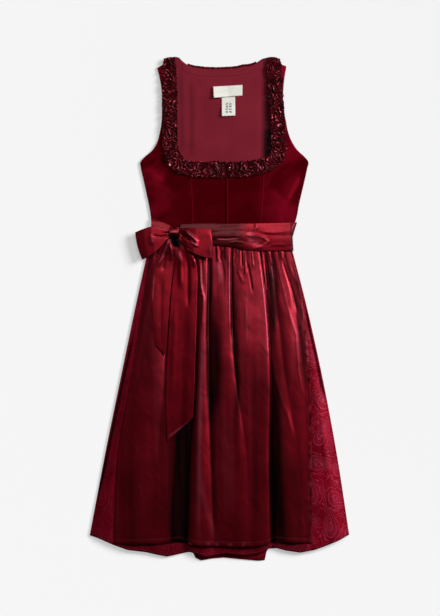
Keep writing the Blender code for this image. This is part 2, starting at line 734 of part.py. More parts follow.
def tie(name, table, cut, columns):
    """Free end of the tie: it lies over the apron's folds, and its end is cut on a slant."""
    data = np.array(table)
    s = np.linspace(0, 1, columns)[None, :]
    x = data[:, 1:2] + (data[:, 2:] - data[:, 1:2]) * s
    y = data[:, :1] + 0 * x
    tip = data[-1, 0]
    end = cut[0] + (cut[1] - cut[0]) * s[0]
    half = (end + tip) / 2
    drift = (data[-1, 1:] - data[-2, 1:]) / (data[-1, 0] - data[-2, 0])
    edge = data[-1, 1] + (data[-1, 2] - data[-1, 1]) * s[0]
    slope = drift[0] + (drift[1] - drift[0]) * s[0]
    x = np.vstack([x, edge + slope * (half - tip), edge + slope * (end - tip)])
    y = np.vstack([y, half, end])
    z = settle(x, y, 8.0) + LAYER + 0.2
    down = np.arange(len(z))[:, None]
    roll = 1.6 * np.abs(np.sin(math.pi * (1.5 * s + 0.08 * down))) * smooth(down / 3)
    under = stack(x, y, z + roll)
    sheet(name, under, lifted(under, SATIN), "satin", True)


def label(name, corners):
    (ax, ay), (bx, by), (cx, cy), (dx, dy) = corners
    x = np.array([[ax, (ax + bx) / 2, bx], [dx, (cx + dx) / 2, cx]])
    y = np.array([[ay, (ay + by) / 2, by], [dy, (cy + dy) / 2, cy]])
    under = stack(x, y, settle(x, y, 3.0) + LAYER)
    over = under + (0, 0, LABEL)
    sheet(name, under, over, "label", True)


def back_trim():
    steps = 41
    edge = np.array(BACK_EDGE)
    x = np.linspace(-76.6, 87.9, steps)[:, None]
    wave = 0.5 - 0.5 * np.cos(math.tau * np.arange(steps) / 4)[:, None]
    top = np.interp(x, edge[:, 0], edge[:, 1])
    y = top + np.array([-2.4, -1.3, 0])[None, :] + wave * np.array([0, 0, 0.6])[None, :]
    z = RUFFLE / 2 + 0.2 + wave * np.array([0.4, 0.8, 1.2])[None, :]
    grid = stack(x + 0 * y, y, z + 0 * x)
    out = normals(grid) * RUFFLE / 2
    under, over = grid - out, grid + out
    under[:, :, 2] = np.maximum(under[:, :, 2], 0.0)
    sheet("trim_back", under, over, "ruffle")


def hook():
    """Small metal hook at the top of the centre front."""
    x = np.array([[21.2, 23.5, 25.4], [20.7, 23.0, 24.9]])
    y = np.array([[333.0] * 3, [325.0] * 3])
    under = stack(x, y, settle(x, y, 1.5) + LAYER)
    over = under + (0, 0, 1.2)
    over[:, 1, 2] += 0.6
    sheet("front_hook", under, over, "metal", True)


def build():
    for item in list(bpy.data.objects):
        bpy.data.objects.remove(item)
    back_bodice()
    back_skirt()
    front_bodice()
    skirt_and_apron()
    ruffle("trim_left", TRIM_LEFT)
    ruffle("trim_right", TRIM_RIGHT)
    ruffle("trim_front_left", TRIM_FRONT_LEFT)
    ruffle("trim_front_right", TRIM_FRONT_RIGHT)
    back_trim()
    hook()
    band("sash_front", SASH, 9, 4, True)
    band("sash_left", SASH_LEFT, 8, 3)
    loop("bow_loop_left", LOOP_LEFT, 8)
    loop("bow_loop_right", LOOP_RIGHT, 8)
    tie("tie_end_left", TIE_LEFT, TIE_LEFT_CUT, 6)
    tie("tie_end_right", TIE_RIGHT, TIE_RIGHT_CUT, 7)
    knot()
    label("brand_label", BRAND_LABEL)
    label("size_label", SIZE_LABEL)


build()
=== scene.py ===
# %% [markdown]
# # A dirndl laid flat
# The dress lies on its back on a pale surface and is seen from straight above: a velvet bodice, a
# ruched trim round the neckline, a satin sash tied in a bow, a gathered satin apron and a jacquard
# skirt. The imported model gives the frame. Every sheet of cloth here and the hook take the place of
# one of its nodes, in the same place and size, with finer folds and a real finish. The stitches and
# the numbers on the size label are laid on them.

import math

import bpy
import numpy as np
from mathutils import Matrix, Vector
from mathutils.bvhtree import BVHTree


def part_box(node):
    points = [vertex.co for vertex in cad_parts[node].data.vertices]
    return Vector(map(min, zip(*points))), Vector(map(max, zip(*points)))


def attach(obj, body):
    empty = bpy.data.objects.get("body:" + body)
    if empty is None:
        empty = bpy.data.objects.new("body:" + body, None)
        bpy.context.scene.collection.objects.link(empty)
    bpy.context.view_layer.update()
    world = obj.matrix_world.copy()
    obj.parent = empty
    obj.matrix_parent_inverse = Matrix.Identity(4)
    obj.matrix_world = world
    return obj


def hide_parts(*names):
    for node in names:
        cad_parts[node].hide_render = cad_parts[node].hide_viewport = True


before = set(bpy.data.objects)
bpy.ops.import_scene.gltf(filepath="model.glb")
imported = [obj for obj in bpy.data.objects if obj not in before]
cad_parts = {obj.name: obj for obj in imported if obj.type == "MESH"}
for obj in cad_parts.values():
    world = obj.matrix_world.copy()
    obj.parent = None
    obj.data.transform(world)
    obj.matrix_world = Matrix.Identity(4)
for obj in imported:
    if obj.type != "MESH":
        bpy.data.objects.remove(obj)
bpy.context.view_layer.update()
MM = 0.001


# %% Helpers for objects, nodes and colours
def placed(name, data):
    """A new object in the scene that holds this data."""
    thing = bpy.data.objects.new(name, data)
    bpy.context.scene.collection.objects.link(thing)
    return thing


def final_mesh(thing):
    """The mesh of an object with its modifiers."""
    bpy.context.view_layer.update()
    return bpy.data.meshes.new_from_object(thing.evaluated_get(bpy.context.evaluated_depsgraph_get()))


# The kinds of node that come up most.
MATH, RANGE, VECTORS = "ShaderNodeMath", "ShaderNodeMapRange", "ShaderNodeVectorMath"


def add(tree, kind, settings=None, links=None):
    """One node with its settings; links gives a value or another node's socket for each input."""
    node = tree.nodes.new(kind)
    for key, value in (settings or {}).items():
        setattr(node, key, value)
    for key, value in (links or {}).items():
        socket = node.inputs[key]
        if isinstance(value, bpy.types.NodeSocket):
            tree.links.new(value, socket)
        else:
            socket.default_value = value
    return node


def lay_out(tree, known, rows):
    """Adds a node for each row, which holds its name, kind, operation or settings, and inputs.

    A word among the inputs is the name of an earlier row, whose first output goes there.
    """
    for name, kind, settings, inputs in rows:
        if isinstance(settings, str):
            settings = {"operation": settings}
        if isinstance(inputs, tuple):
            inputs = dict(enumerate(inputs))
        inputs = {key: known[value] if isinstance(value, str) else value for key, value in inputs.items()}
        known[name] = add(tree, kind, settings, inputs).outputs[0]


def linear(code):
    """An sRGB hex colour as the linear values that a shader needs."""
    parts = [int(code[i:i + 2], 16) / 255 for i in (1, 3, 5)]
    return (*[p / 12.92 if p <= 0.04045 else ((p + 0.055) / 1.055) ** 2.4 for p in parts], 1.0)


def new_material(name, values):
    """A material, its tree and its shader; values go to the shader's sockets, a colour as hex."""
    finish = bpy.data.materials.new(name)
    finish.use_nodes = True
    shader = finish.node_tree.nodes["Principled BSDF"]
    for socket, value in values.items():
        shader.inputs[socket].default_value = linear(value) if isinstance(value, str) else value
    print("finish:", name)
    return finish, finish.node_tree, shader


def dress(tree, shader, colour, normal=None):
    """Links a colour to the shader, and a bump where there is one."""
    tree.links.new(colour, shader.inputs["Base Color"])
    if normal:
        tree.links.new(normal, shader.inputs["Normal"])


# %% [markdown]
# ## Camera, floor and light
# The photograph looks straight down through a long lens, so heights hardly shift anything. One soft
# box stands low at the upper right: every fold is bright on its right flank and the shadow falls to
# the left. A second one hangs over the shoulders, so that flat satin mirrors it near the waist and
# turns dark towards the hem. The floor glows by what the lamps lose with distance, which keeps it
# even right across while it still takes the soft shadow beside the cloth.

# %% Camera
CAMERA_HEIGHT = 3.6
SENSOR_MM = 36.0
PICTURE_HEIGHT = 616 * 2.35 * MM  # rows of the photograph, and millimetres for each row
PICTURE_MIDDLE = (0.0009, 0.0031)  # where the photograph's middle lies, in metres
camera_data = bpy.data.cameras.new("overhead_camera")
camera_data.sensor_width = SENSOR_MM
camera_data.lens = SENSOR_MM * CAMERA_HEIGHT / PICTURE_HEIGHT
camera_data.clip_end = 50
camera = placed("overhead_camera", camera_data)
camera.location = (*PICTURE_MIDDLE, CAMERA_HEIGHT)
bpy.context.scene.camera = camera
print("lens", round(camera_data.lens, 1), "mm at", CAMERA_HEIGHT, "m")

# %% Lights
LAMPS = (
    # name, place, target, width and height of the box, watts
    ("key_softbox", (3.4, 1.7, 2.5), (0.0, 0.0, 0.0), (1.7, 1.7), 285),
    ("shoulder_softbox", (0.1, 0.85, 1.9), (0.0, 0.25, 0.0), (1.1, 0.5), 16),
)
for name, place, target, size, watts in LAMPS:
    data = bpy.data.lights.new(name, "AREA")
    data.shape = "RECTANGLE"
    data.size, data.size_y = size
    data.energy = watts
    lamp = placed(name, data)
    lamp.location = place
    lamp.rotation_euler = (Vector(target) - Vector(place)).to_track_quat("-Z", "Y").to_euler()
SKY = 0.075
world = bpy.data.worlds.new("studio")
world.use_nodes = True
background = world.node_tree.nodes["Background"]
background.inputs["Color"].default_value = linear("#ffffff")
background.inputs["Strength"].default_value = SKY
bpy.context.scene.world = world
bpy.context.scene.view_settings.view_transform = "Standard"
print("lamps:", [lamp[0] for lamp in LAMPS])

# %% Floor
FLOOR_ALBEDO = 0.5
FLOOR_LEVEL = 0.92  # the picture's floor, as a linear value
FLOOR_HALF = 6.0  # half its side, in metres
FLOOR_DROP = 0.4 * MM  # it lies this far under the dress
LAMP_SHARE = 0.0985  # light that reaches the floor for each watt, at one metre
floor_paint, tree, shader = new_material("pale_paper_floor", {
    "Base Color": (FLOOR_ALBEDO, FLOOR_ALBEDO, FLOOR_ALBEDO, 1), "Roughness": 1.0,
    "Specular IOR Level": 0.0, "Emission Color": "#ffffff"})
spot = add(tree, "ShaderNodeTexCoord").outputs["Object"]
glow = FLOOR_LEVEL - FLOOR_ALBEDO * SKY
for name, place, target, size, watts in LAMPS:
    axis = (Vector(target) - Vector(place)).normalized()
    away = add(tree, VECTORS, {"operation": "SUBTRACT"}, {0: spot, 1: place}).outputs[0]
    facing = add(tree, VECTORS, {"operation": "DOT_PRODUCT"}, {0: away, 1: axis}).outputs["Value"]
    far = add(tree, VECTORS, {"operation": "LENGTH"}, {0: away}).outputs["Value"]
    fourth = add(tree, MATH, {"operation": "POWER"}, {0: far, 1: 4.0}).outputs[0]
    reach = add(tree, MATH, {"operation": "DIVIDE"}, {0: facing, 1: fourth}).outputs[0]
    part = FLOOR_ALBEDO * LAMP_SHARE * watts * place[2]
    glow = add(tree, MATH, {"operation": "MULTIPLY_ADD"}, {0: reach, 1: -part, 2: glow}).outputs[0]
tree.links.new(glow, shader.inputs["Emission Strength"])
floor_mesh = bpy.data.meshes.new("floor")
corners = [(x * FLOOR_HALF, y * FLOOR_HALF, 0) for x, y in ((-1, -1), (1, -1), (1, 1), (-1, 1))]
floor_mesh.from_pydata(corners, [], [(0, 1, 2, 3)])
floor_mesh.materials.append(floor_paint)
floor = placed("floor", floor_mesh)
floor.location.z = -FLOOR_DROP

# %% [markdown]
# ## Cloth finishes
# Five cloths make the dress. Velvet is dark where one looks straight into its pile and bright where
# the pile leans away, which the sheen lobe of the shader gives. Satin is a smooth weave of long
# floats, so its reflection is wide, strong and takes the cloth's own colour. The lining is a matte
# plain weave. The skirt is a jacquard whose paisley is woven in a brighter, smoother float. The
# trim's ribbon has a satin face. Painted shade darkens their colours in folds, hollows and under
# other pieces, and painted highlights and painted sheen lighten crests, edges and the velvet's sides.

# %% Weave and shading helpers
THREAD_MM = 0.9  # real threads are near 0.2 mm apart, too fine for this picture, so drawn coarser


def weave_bump(tree, strength, pitch_mm=THREAD_MM, depth_mm=0.05):
    """Bump of crossing threads along the cloth's own UV axes, which are in metres."""
    uv = add(tree, "ShaderNodeUVMap", {"uv_map": "cloth"}).outputs["UV"]
    scale = math.tau / (20 * pitch_mm * MM)
    waves = [add(tree, "ShaderNodeTexWave", {"bands_direction": direction},
                 {"Vector": uv, "Scale": scale}).outputs["Fac"] for direction in "XY"]
    crossed = add(tree, MATH, {"operation": "MAXIMUM"}, {0: waves[0], 1: waves[1]})
    return add(tree, "ShaderNodeBump", None, {"Strength": strength, "Distance": depth_mm * MM,
                                              "Height": crossed.outputs[0]}).outputs["Normal"]


def mottle(tree, scale, low, high):
    """Slow change between two colours across the cloth, in object space."""
    spot = add(tree, "ShaderNodeTexCoord").outputs["Object"]
    noise = add(tree, "ShaderNodeTexNoise", None, {"Vector": spot, "Scale": scale, "Detail": 3.0})
    ramp = add(tree, RANGE, None, {"Value": noise.outputs["Fac"], "From Min": 0.35, "From Max": 0.65})
    return add(tree, "ShaderNodeMix", {"data_type": "RGBA"},
               {"Factor": ramp.outputs["Result"], 6: linear(low), 7: linear(high)}).outputs[2]


def shaded(tree, colour, shade_colour, highlight_colour):
    """The colour, with a painted highlight where the piece's light mark rises and painted shade where its
    shade mark does.
    """
    for mark, other in (("lit", highlight_colour), ("hollow", shade_colour)):
        share = add(tree, "ShaderNodeAttribute", {"attribute_name": mark}).outputs["Fac"]
        colour = add(tree, "ShaderNodeMix", {"data_type": "RGBA"},
                     {"Factor": share, 6: colour, 7: linear(other)}).outputs[2]
    return colour


# %% Velvet: lighter where the pile leans at random, with painted sheen towards the sides and along marked patches and seams
velvet, tree, shader = new_material("cut_pile_velvet", {
    "Roughness": 1.0, "Specular IOR Level": 0.0, "Sheen Weight": 0.35, "Sheen Roughness": 0.3,
    "Sheen Tint": "#b00418"})
spot = add(tree, "ShaderNodeTexCoord").outputs["Object"]
known = {
    "spot": spot,
    "east": add(tree, "ShaderNodeSeparateXYZ", None, {"Vector": spot}).outputs["X"],
    "sheen_share": add(tree, "ShaderNodeAttribute", {"attribute_name": "nap"}).outputs["Fac"],
}
# Painted sheen: the pile turns lighter towards the sides and where the sheen mark rises; the random patches
# are partly the pile's own lean and partly painted sheen.
lay_out(tree, known, (
    ("nap", "ShaderNodeTexNoise", None, {"Vector": "spot", "Scale": 13.0, "Detail": 3.0, "Distortion": 0.8}),
    ("leaning", RANGE, None, {"Value": "nap", "From Min": 0.45, "From Max": 0.7}),
    ("from_middle", MATH, "ABSOLUTE", ("east",)),
    ("outer", RANGE, None, {"Value": "from_middle", "From Min": 0.07, "From Max": 0.19}),
    ("share", MATH, "MULTIPLY_ADD", ("leaning", "outer", 0.12)),
    ("lifted", MATH, "ADD", ("share", "sheen_share")),
    ("tips", "ShaderNodeTexNoise", None, {"Vector": "spot", "Scale": 700.0, "Detail": 2.0}),
))
pile = add(tree, "ShaderNodeMix", {"data_type": "RGBA"},
           {"Factor": known["lifted"], 6: linear("#2e0001"), 7: linear("#6a0618")})
fuzz = add(tree, "ShaderNodeBump", None, {"Strength": 0.3, "Distance": 0.0004, "Height": known["tips"]})
dress(tree, shader, pile.outputs[2], fuzz.outputs["Normal"])

# %% Satin: a metal-like lobe in the cloth's own red, a thin coat, a fine crinkle, and painted shade and painted highlights
satin, tree, shader = new_material("acetate_satin", {
    "Metallic": 0.9, "Roughness": 0.4, "Specular IOR Level": 0.05, "Coat Weight": 0.12,
    "Coat Roughness": 0.3})
uv = add(tree, "ShaderNodeUVMap", {"uv_map": "cloth"}).outputs["UV"]
stretched = add(tree, "ShaderNodeMapping", None, {"Vector": uv, "Scale": (34.0, 20.0, 1.0)}).outputs[0]
crinkle = add(tree, "ShaderNodeTexNoise", None,
              {"Vector": stretched, "Scale": 1.0, "Detail": 1.0, "Distortion": 0.5}).outputs["Fac"]
floats = add(tree, "ShaderNodeBump", None, {"Strength": 0.5, "Distance": 0.003, "Height": crinkle,
                                            "Normal": weave_bump(tree, 0.08)})
# The marks mix in a painted shade colour and a painted highlight colour.
dress(tree, shader, shaded(tree, mottle(tree, 9.0, "#6e0414", "#7e0a1a"), "#0a0000", "#b85064"),
      floats.outputs["Normal"])

# %% Lining: a matte plain weave, with painted shade
lining_cloth, tree, shader = new_material("plain_woven_lining", {
    "Roughness": 0.9, "Specular IOR Level": 0.1})
dress(tree, shader, shaded(tree, mottle(tree, 12.0, "#621220", "#6a1724"), "#1c0206", "#8a2a3a"),
      weave_bump(tree, 0.25, 0.8))

# %% Ribbon of the trim: painted shade between its folds and painted highlights along their edges
ribbon, tree, shader = new_material("satin_faced_ribbon", {
    "Metallic": 0.25, "Roughness": 0.5, "Specular IOR Level": 0.06, "Sheen Weight": 0.2,
    "Sheen Tint": "#c01428"})
crest = add(tree, "ShaderNodeAttribute", {"attribute_name": "crest"}).outputs["Fac"]
shade = add(tree, "ShaderNodeValToRGB", None, {"Fac": crest})
ramp = shade.color_ramp
ramp.elements[0].color = linear("#0c0002")
ramp.elements[1].color = linear("#e08890")
for level, code in ((0.2, "#1c0206"), (0.4, "#42060e"), (0.87, "#520a14"), (0.93, "#b04a58")):
    ramp.elements.new(level).color = linear(code)
dress(tree, shader, shade.outputs["Color"])

# %% Jacquard: paisley drops with curled tips, woven tone on tone
MOTIF_MM = 54.0
LINE_MM = 0.85  # half a woven line; the real one is finer, too thin to show at this size
jacquard, tree, shader = new_material("paisley_jacquard", {
    "Metallic": 0.35, "Roughness": 0.5, "Specular IOR Level": 0.05})
spot = add(tree, "ShaderNodeTexCoord").outputs["Object"]
drawn = add(tree, "ShaderNodeMapping", None, {"Vector": spot, "Rotation": (0, 0, 0.2),
                                              "Scale": (1000 / MOTIF_MM, 740 / MOTIF_MM, 0)}).outputs[0]
cells = add(tree, "ShaderNodeTexVoronoi", {"voronoi_dimensions": "2D"},
            {"Vector": drawn, "Scale": 1.0, "Randomness": 0.3}).outputs
known = {
    "drawn": drawn,
    "middle": cells["Position"],
    "chance": add(tree, "ShaderNodeSeparateColor", None, {"Color": cells["Color"]}).outputs[0],
    "east": add(tree, "ShaderNodeSeparateXYZ", None, {"Vector": spot}).outputs["X"],
}
lay_out(tree, known, (
    ("local", VECTORS, "SUBTRACT", ("drawn", "middle")),
    ("angle", MATH, "MULTIPLY_ADD", ("chance", 2.6, -1.3)),
    ("turned", "ShaderNodeVectorRotate", {"rotation_type": "Z_AXIS"}, {"Vector": "local", "Angle": "angle"}),
))
axes = add(tree, "ShaderNodeSeparateXYZ", None, {"Vector": known["turned"]}).outputs
known.update(across=axes["X"], height=axes["Y"])

# %% The drop: wide below, with its tip bent to one side, and a scalloped rim of petals
lay_out(tree, known, (
    ("from_foot", MATH, "ADD", ("height", 0.5)),
    ("bend", MATH, "POWER", ("from_foot", 2.0)),
    ("bent", MATH, "MULTIPLY_ADD", ("bend", -0.5, "across")),
    ("sideways", MATH, "ADD", ("bent", 0.14)),
    ("taper", RANGE, None, {"Value": "height", "From Min": -0.5, "From Max": 0.5,
                            "To Min": 0.42, "To Max": 0.06}),
    ("wide", MATH, "DIVIDE", ("sideways", "taper")),
    ("tall", MATH, "DIVIDE", ("height", 0.48)),
    ("wide_squared", MATH, "MULTIPLY", ("wide", "wide")),
    ("tall_squared", MATH, "MULTIPLY", ("tall", "tall")),
    ("squares", MATH, "ADD", ("wide_squared", "tall_squared")),
    ("radius", MATH, "SQRT", ("squares",)),
    ("around", MATH, "ARCTAN2", ("tall", "wide")),
    ("four_times", MATH, "MULTIPLY", ("around", 4.0)),
    ("wave", MATH, "SINE", ("four_times",)),
    ("scallop", MATH, "ABSOLUTE", ("wave",)),
    ("petals", MATH, "MULTIPLY_ADD", ("scallop", 0.13, 1.12)),
    ("drift", "ShaderNodeTexNoise", {"noise_dimensions": "2D"},
     {"Vector": "drawn", "Scale": 2.4, "Detail": 2.0}),
))
half_line = LINE_MM / (0.42 * MOTIF_MM)
LINES = (
    # name, value, the level that the line follows, half its width
    ("rim", "radius", 0.9, half_line),
    ("petal_rim", "radius", "petals", half_line),
    ("core", "radius", 0.46, half_line * 1.2),
    ("tendril", "drift", 0.43, 0.014),
    ("other_tendril", "drift", 0.57, 0.014),
)
for name, value, level, half in LINES:
    lay_out(tree, known, (
        ("off", MATH, "SUBTRACT", (value, level)),
        ("gap", MATH, "ABSOLUTE", ("off",)),
        (name, RANGE, None, {"Value": "gap", "From Min": half, "From Max": half * 0.4}),
    ))
print("woven lines:", [line[0] for line in LINES])

# %% The figure: drops, tendrils between them and soft patches, with painted light that fades them towards the left edge
lay_out(tree, known, (
    ("outline", MATH, "MAXIMUM", ("rim", "petal_rim")),
    ("inner", MATH, "MULTIPLY", ("core", 0.6)),
    ("drop", MATH, "MAXIMUM", ("outline", "inner")),
    ("tendrils", MATH, "MAXIMUM", ("tendril", "other_tendril")),
    ("from_rim", MATH, "SUBTRACT", ("radius", 0.9)),
    ("clearance", MATH, "ABSOLUTE", ("from_rim",)),
    ("outside", MATH, "GREATER_THAN", ("clearance", 0.34)),
    ("leaves", MATH, "MULTIPLY", ("tendrils", "outside")),
    ("figure", MATH, "MAXIMUM", ("drop", "leaves")),
    ("patch", RANGE, None, {"Value": "drift", "From Min": 0.45, "From Max": 0.68, "To Max": 0.1}),
    ("drawn_over", MATH, "MULTIPLY_ADD", ("figure", 0.5, "patch")),
    ("inside", MATH, "LESS_THAN", ("radius", 0.9)),
    ("filled", MATH, "MULTIPLY_ADD", ("inside", 0.08, "drawn_over")),
    ("painted_float_light", RANGE, None, {"Value": "east", "From Min": -0.2, "From Max": 0.15, "To Min": 0.45}),
    ("threads", MATH, "MULTIPLY", ("filled", "painted_float_light")),
))
ground = add(tree, "ShaderNodeMix", {"data_type": "RGBA"},
             {"Factor": known["threads"], 6: mottle(tree, 20.0, "#660012", "#7c021a"), 7: linear("#a83850")})
raised = add(tree, "ShaderNodeBump", None, {"Strength": 0.4, "Distance": 0.0004, "Height": known["threads"]})
# The marks mix in a painted shade colour and a painted highlight colour.
dress(tree, shader, shaded(tree, ground.outputs[2], "#200004", "#a04050"), raised.outputs["Normal"])
print("jacquard has", len(tree.nodes), "nodes")

# %% Label tape, sewing threads, woven print and nickel
# The labels' tape is a pale, dense and matte weave.
label_cloth, tree, shader = new_material("woven_label_tape", {"Roughness": 0.8})
dress(tree, shader, mottle(tree, 60.0, "#c2c0b8", "#ccccc4"), weave_bump(tree, 0.5, 0.7, 0.12))
# Thread has the dress's red, and a paler one holds the labels.
thread = new_material("sewing_thread", {"Base Color": "#6a1824", "Roughness": 0.6})[0]
label_thread = new_material("pale_sewing_thread", {"Base Color": "#a8a498", "Roughness": 0.6})[0]
# The numbers on the size label are woven in dark grey.
ink = new_material("grey_woven_print", {"Base Color": "#1c1a18", "Roughness": 0.8})[0]
# The hook is bright nickel plate.
steel = new_material("nickel_plated_steel", {"Base Color": "#cfcfd2", "Metallic": 1.0,
                                             "Roughness": 0.22})[0]


# %% [markdown]
# ## How a sheet of cloth is made here
# Every panel is a fine grid of points in millimetres: its outline comes from short tables, its
# height from functions for folds, gathers and creases. A second grid one wall lower closes it, so
# that its edge has a real thickness. The UV map holds the distance along the cloth in metres, so a
# weave keeps its size where the cloth rises into a fold.

# %% Sheet helper
made = {}  # the pieces, by name
trees = {}  # their upper sides, for finding heights


def smooth(t):
    t = np.clip(t, 0, 1)
    return t * t * (3 - 2 * t)


def between(first, last, share):
    return first + (last - first) * share


def row_shares(count):
    """Shares from 0 to 1 along a grid's rows."""
    return np.linspace(0, 1, count)[None, :]


def column_shares(count):
    return np.linspace(0, 1, count)[:, None]


def distances(points):
    """How far along a line each of its points lies."""
    return np.concatenate([[0], np.cumsum(np.linalg.norm(np.diff(points, axis=0), axis=1))])


def quads(rows, columns):
    """The numbers of a grid's points, and its faces."""
    index = np.arange(rows * columns).reshape(rows, columns)
    corners = [index[:-1, :-1], index[1:, :-1], index[1:, 1:], index[:-1, 1:]]
    return index, np.stack(corners, axis=-1).reshape(-1, 4)


def upward(grid):
    """Unit normals of a grid, on its upper side."""
    cross = np.cross(np.gradient(grid, axis=0), np.gradient(grid, axis=1))
    return cross / np.maximum(np.linalg.norm(cross, axis=2, keepdims=True), 1e-9)


def cloth(name, node, places, wall, finish, square=False, **marks):
    """A closed sheet under a grid of places; marks hold a value from 0 to 1 for its finish to read, here
    painted shade and painted highlight.
    """
    grid = np.dstack(np.broadcast_arrays(*places))
    rows, columns = grid.shape[:2]
    lean = upward(grid)
    if square:
        under = grid - lean * wall
    else:
        under = grid - np.dstack([0 * grid[:, :, :2], wall / np.maximum(np.abs(lean[:, :, 2:]), 0.55)])
    points = np.vstack([grid.reshape(-1, 3), under.reshape(-1, 3)]) * MM
    index, top = quads(rows, columns)
    rim = np.concatenate([index[:, 0], index[-1, 1:], index[-2::-1, -1], index[0, -2:0:-1]])
    after = np.roll(rim, -1)
    side = np.stack([after, rim, rim + rows * columns, after + rows * columns], axis=-1)
    faces = np.vstack([top, top[:, ::-1] + rows * columns, side])
    corner = points[faces]
    if sum((corner[:, 0] * np.cross(corner[:, k], corner[:, k + 1])).sum() for k in (1, 2)) < 0:
        faces = faces[:, ::-1]
    mesh = bpy.data.meshes.new(name)
    mesh.from_pydata(points.tolist(), [], faces.tolist())
    step_u = np.linalg.norm(np.diff(grid, axis=1, prepend=grid[:, :1]), axis=2).cumsum(axis=1)
    step_v = np.linalg.norm(np.diff(grid, axis=0, prepend=grid[:1]), axis=2).cumsum(axis=0)
    step_u -= step_u[:, columns // 2:columns // 2 + 1]
    flat = np.tile(np.stack([step_u, -step_v], axis=-1).reshape(-1, 2) * MM, (2, 1))
    mesh.uv_layers.new(name="cloth").data.foreach_set("uv", flat[faces.ravel()].ravel())
    # Painted shade gives way where the painted highlight lies.
    if "lit" in marks:
        marks["hollow"] = np.clip(marks["hollow"], 0, 1) * (1 - np.clip(1.6 * marks["lit"], 0, 1))
    for key, values in marks.items():
        both = np.tile(np.clip(values, 0, 1).ravel(), 2).astype(np.float32)
        mesh.attributes.new(key, "FLOAT", "POINT").data.foreach_set("value", both)
    mesh.shade_smooth()
    mesh.materials.append(finish)
    mesh.update()
    made[name] = placed(name, mesh)
    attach(made[name], "root")
    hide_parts(node)
    trees[name] = BVHTree.FromPolygons(grid.reshape(-1, 3).tolist(), top.tolist())
    print(name, rows, "x", columns, "points,", len(faces) * 2, "triangles")


def height_over(names, x, y):
    """Height in millimetres of the highest of these sheets at a point, or 0 off them."""
    best = 0.0
    for name in names:
        hit = trees[name].ray_cast(Vector((x, y, 300.0)), Vector((0, 0, -1)))[0]
        if hit is not None:
            best = max(best, hit.z)
    return best


def blur(grid, times):
    """Softens a table of heights, keeping its edges in place."""
    for _ in range(times):
        wide = np.pad(grid, 1, mode="edge")
        grid = (wide[:-2, 1:-1] + wide[2:, 1:-1] + wide[1:-1, :-2] + wide[1:-1, 2:] + 4 * grid) / 8
    return grid


def resize(grid, rows, columns):
    """A coarse table of numbers read off at more rows and columns."""
    old_r, old_c = grid.shape
    r = np.linspace(0, old_r - 1, rows)
    c = np.linspace(0, old_c - 1, columns)
    tall = np.array([np.interp(r, np.arange(old_r), grid[:, k]) for k in range(old_c)]).T
    return np.array([np.interp(c, np.arange(old_c), tall[k]) for k in range(rows)])


def draped(x, y, names, reach, rows, columns, soften):
    """Heights of a layer that rests on these sheets: it spans their hollows and stays above them."""
    pick_r = np.linspace(0, x.shape[0] - 1, rows).round().astype(int)
    pick_c = np.linspace(0, x.shape[1] - 1, columns).round().astype(int)
    spots = [(0.0, 0.0)]
    spots += [(reach * k * math.cos(a), reach * k * math.sin(a)) for k in (0.5, 1.0)
              for a in np.arange(8) * math.tau / 8]
    coarse = np.array([[max(height_over(names, x[r, c] + u, y[r, c] + v) for u, v in spots)
                        for c in pick_c] for r in pick_r])
    wide = np.pad(coarse, 1, mode="edge")
    most = np.max([wide[i:i + rows, j:j + columns] for i in range(3) for j in range(3)], axis=0)
    return blur(resize(blur(most, soften), *x.shape), 6)


def curve(y, at_y, values):
    """A smooth line through a few stations, read at any height; stations run downwards."""
    ys, vs = np.array(at_y, float)[::-1], np.array(values, float)[::-1]
    slope = np.gradient(vs, ys)
    y = np.clip(y, ys[0], ys[-1])
    k = np.clip(np.searchsorted(ys, y) - 1, 0, len(ys) - 2)
    h = ys[k + 1] - ys[k]
    t = (y - ys[k]) / h
    return ((1 + 2 * t) * (1 - t) ** 2 * vs[k] + t * (1 - t) ** 2 * h * slope[k]
            + t * t * (3 - 2 * t) * vs[k + 1] + t * t * (t - 1) * h * slope[k + 1])


def crease(x, y, path, width, height, ends=0.2):
    """Height of a soft ridge, or trough where height is negative, that fades at both ends."""
    path = np.array(path, float)
    length = distances(path)
    nearest, share = np.full(x.shape, 1e9), np.zeros(x.shape)
    for k in range(len(path) - 1):
        run = path[k + 1] - path[k]
        size = run @ run
        t = np.clip(((x - path[k, 0]) * run[0] + (y - path[k, 1]) * run[1]) / size, 0, 1)
        gap = np.hypot(x - path[k, 0] - t * run[0], y - path[k, 1] - t * run[1])
        share = np.where(gap < nearest, (length[k] + t * math.sqrt(size)) / length[-1], share)
        nearest = np.minimum(gap, nearest)
    fade = smooth(share / ends) * smooth((1 - share) / ends)
    return height * fade * np.exp(-(nearest / width) ** 2)


def creases(x, y, table, ends=0.2):
    """All the ridges and troughs of a table: points, width and height of each."""
    return sum(crease(x, y, path, width, height, ends) for path, width, height in table)


def waviness(x, y, seed, size, stretch=1.0):
    """Seeded soft unevenness between -1 and 1, longer along Y where stretch is more than 1."""
    rng = np.random.default_rng(seed)
    directions = 9
    total = np.zeros_like(x)
    for _ in range(directions):
        turn, phase = rng.uniform(0, math.tau, 2)
        scale = size * rng.uniform(0.6, 1.6)
        total += np.sin((x * math.cos(turn) + y * math.sin(turn) / stretch) / scale + phase)
    return total / math.sqrt(directions) / 1.4


# %% [markdown]
# ## The bodice
# The back and its lining lie flat on the floor. Through the deep neckline one sees the lining, a
# facing sewn along the back neck and a soft lengthwise crease. The four front panels are fitted:
# they stand off the back beside the princess seams and come down to it at the side seams.

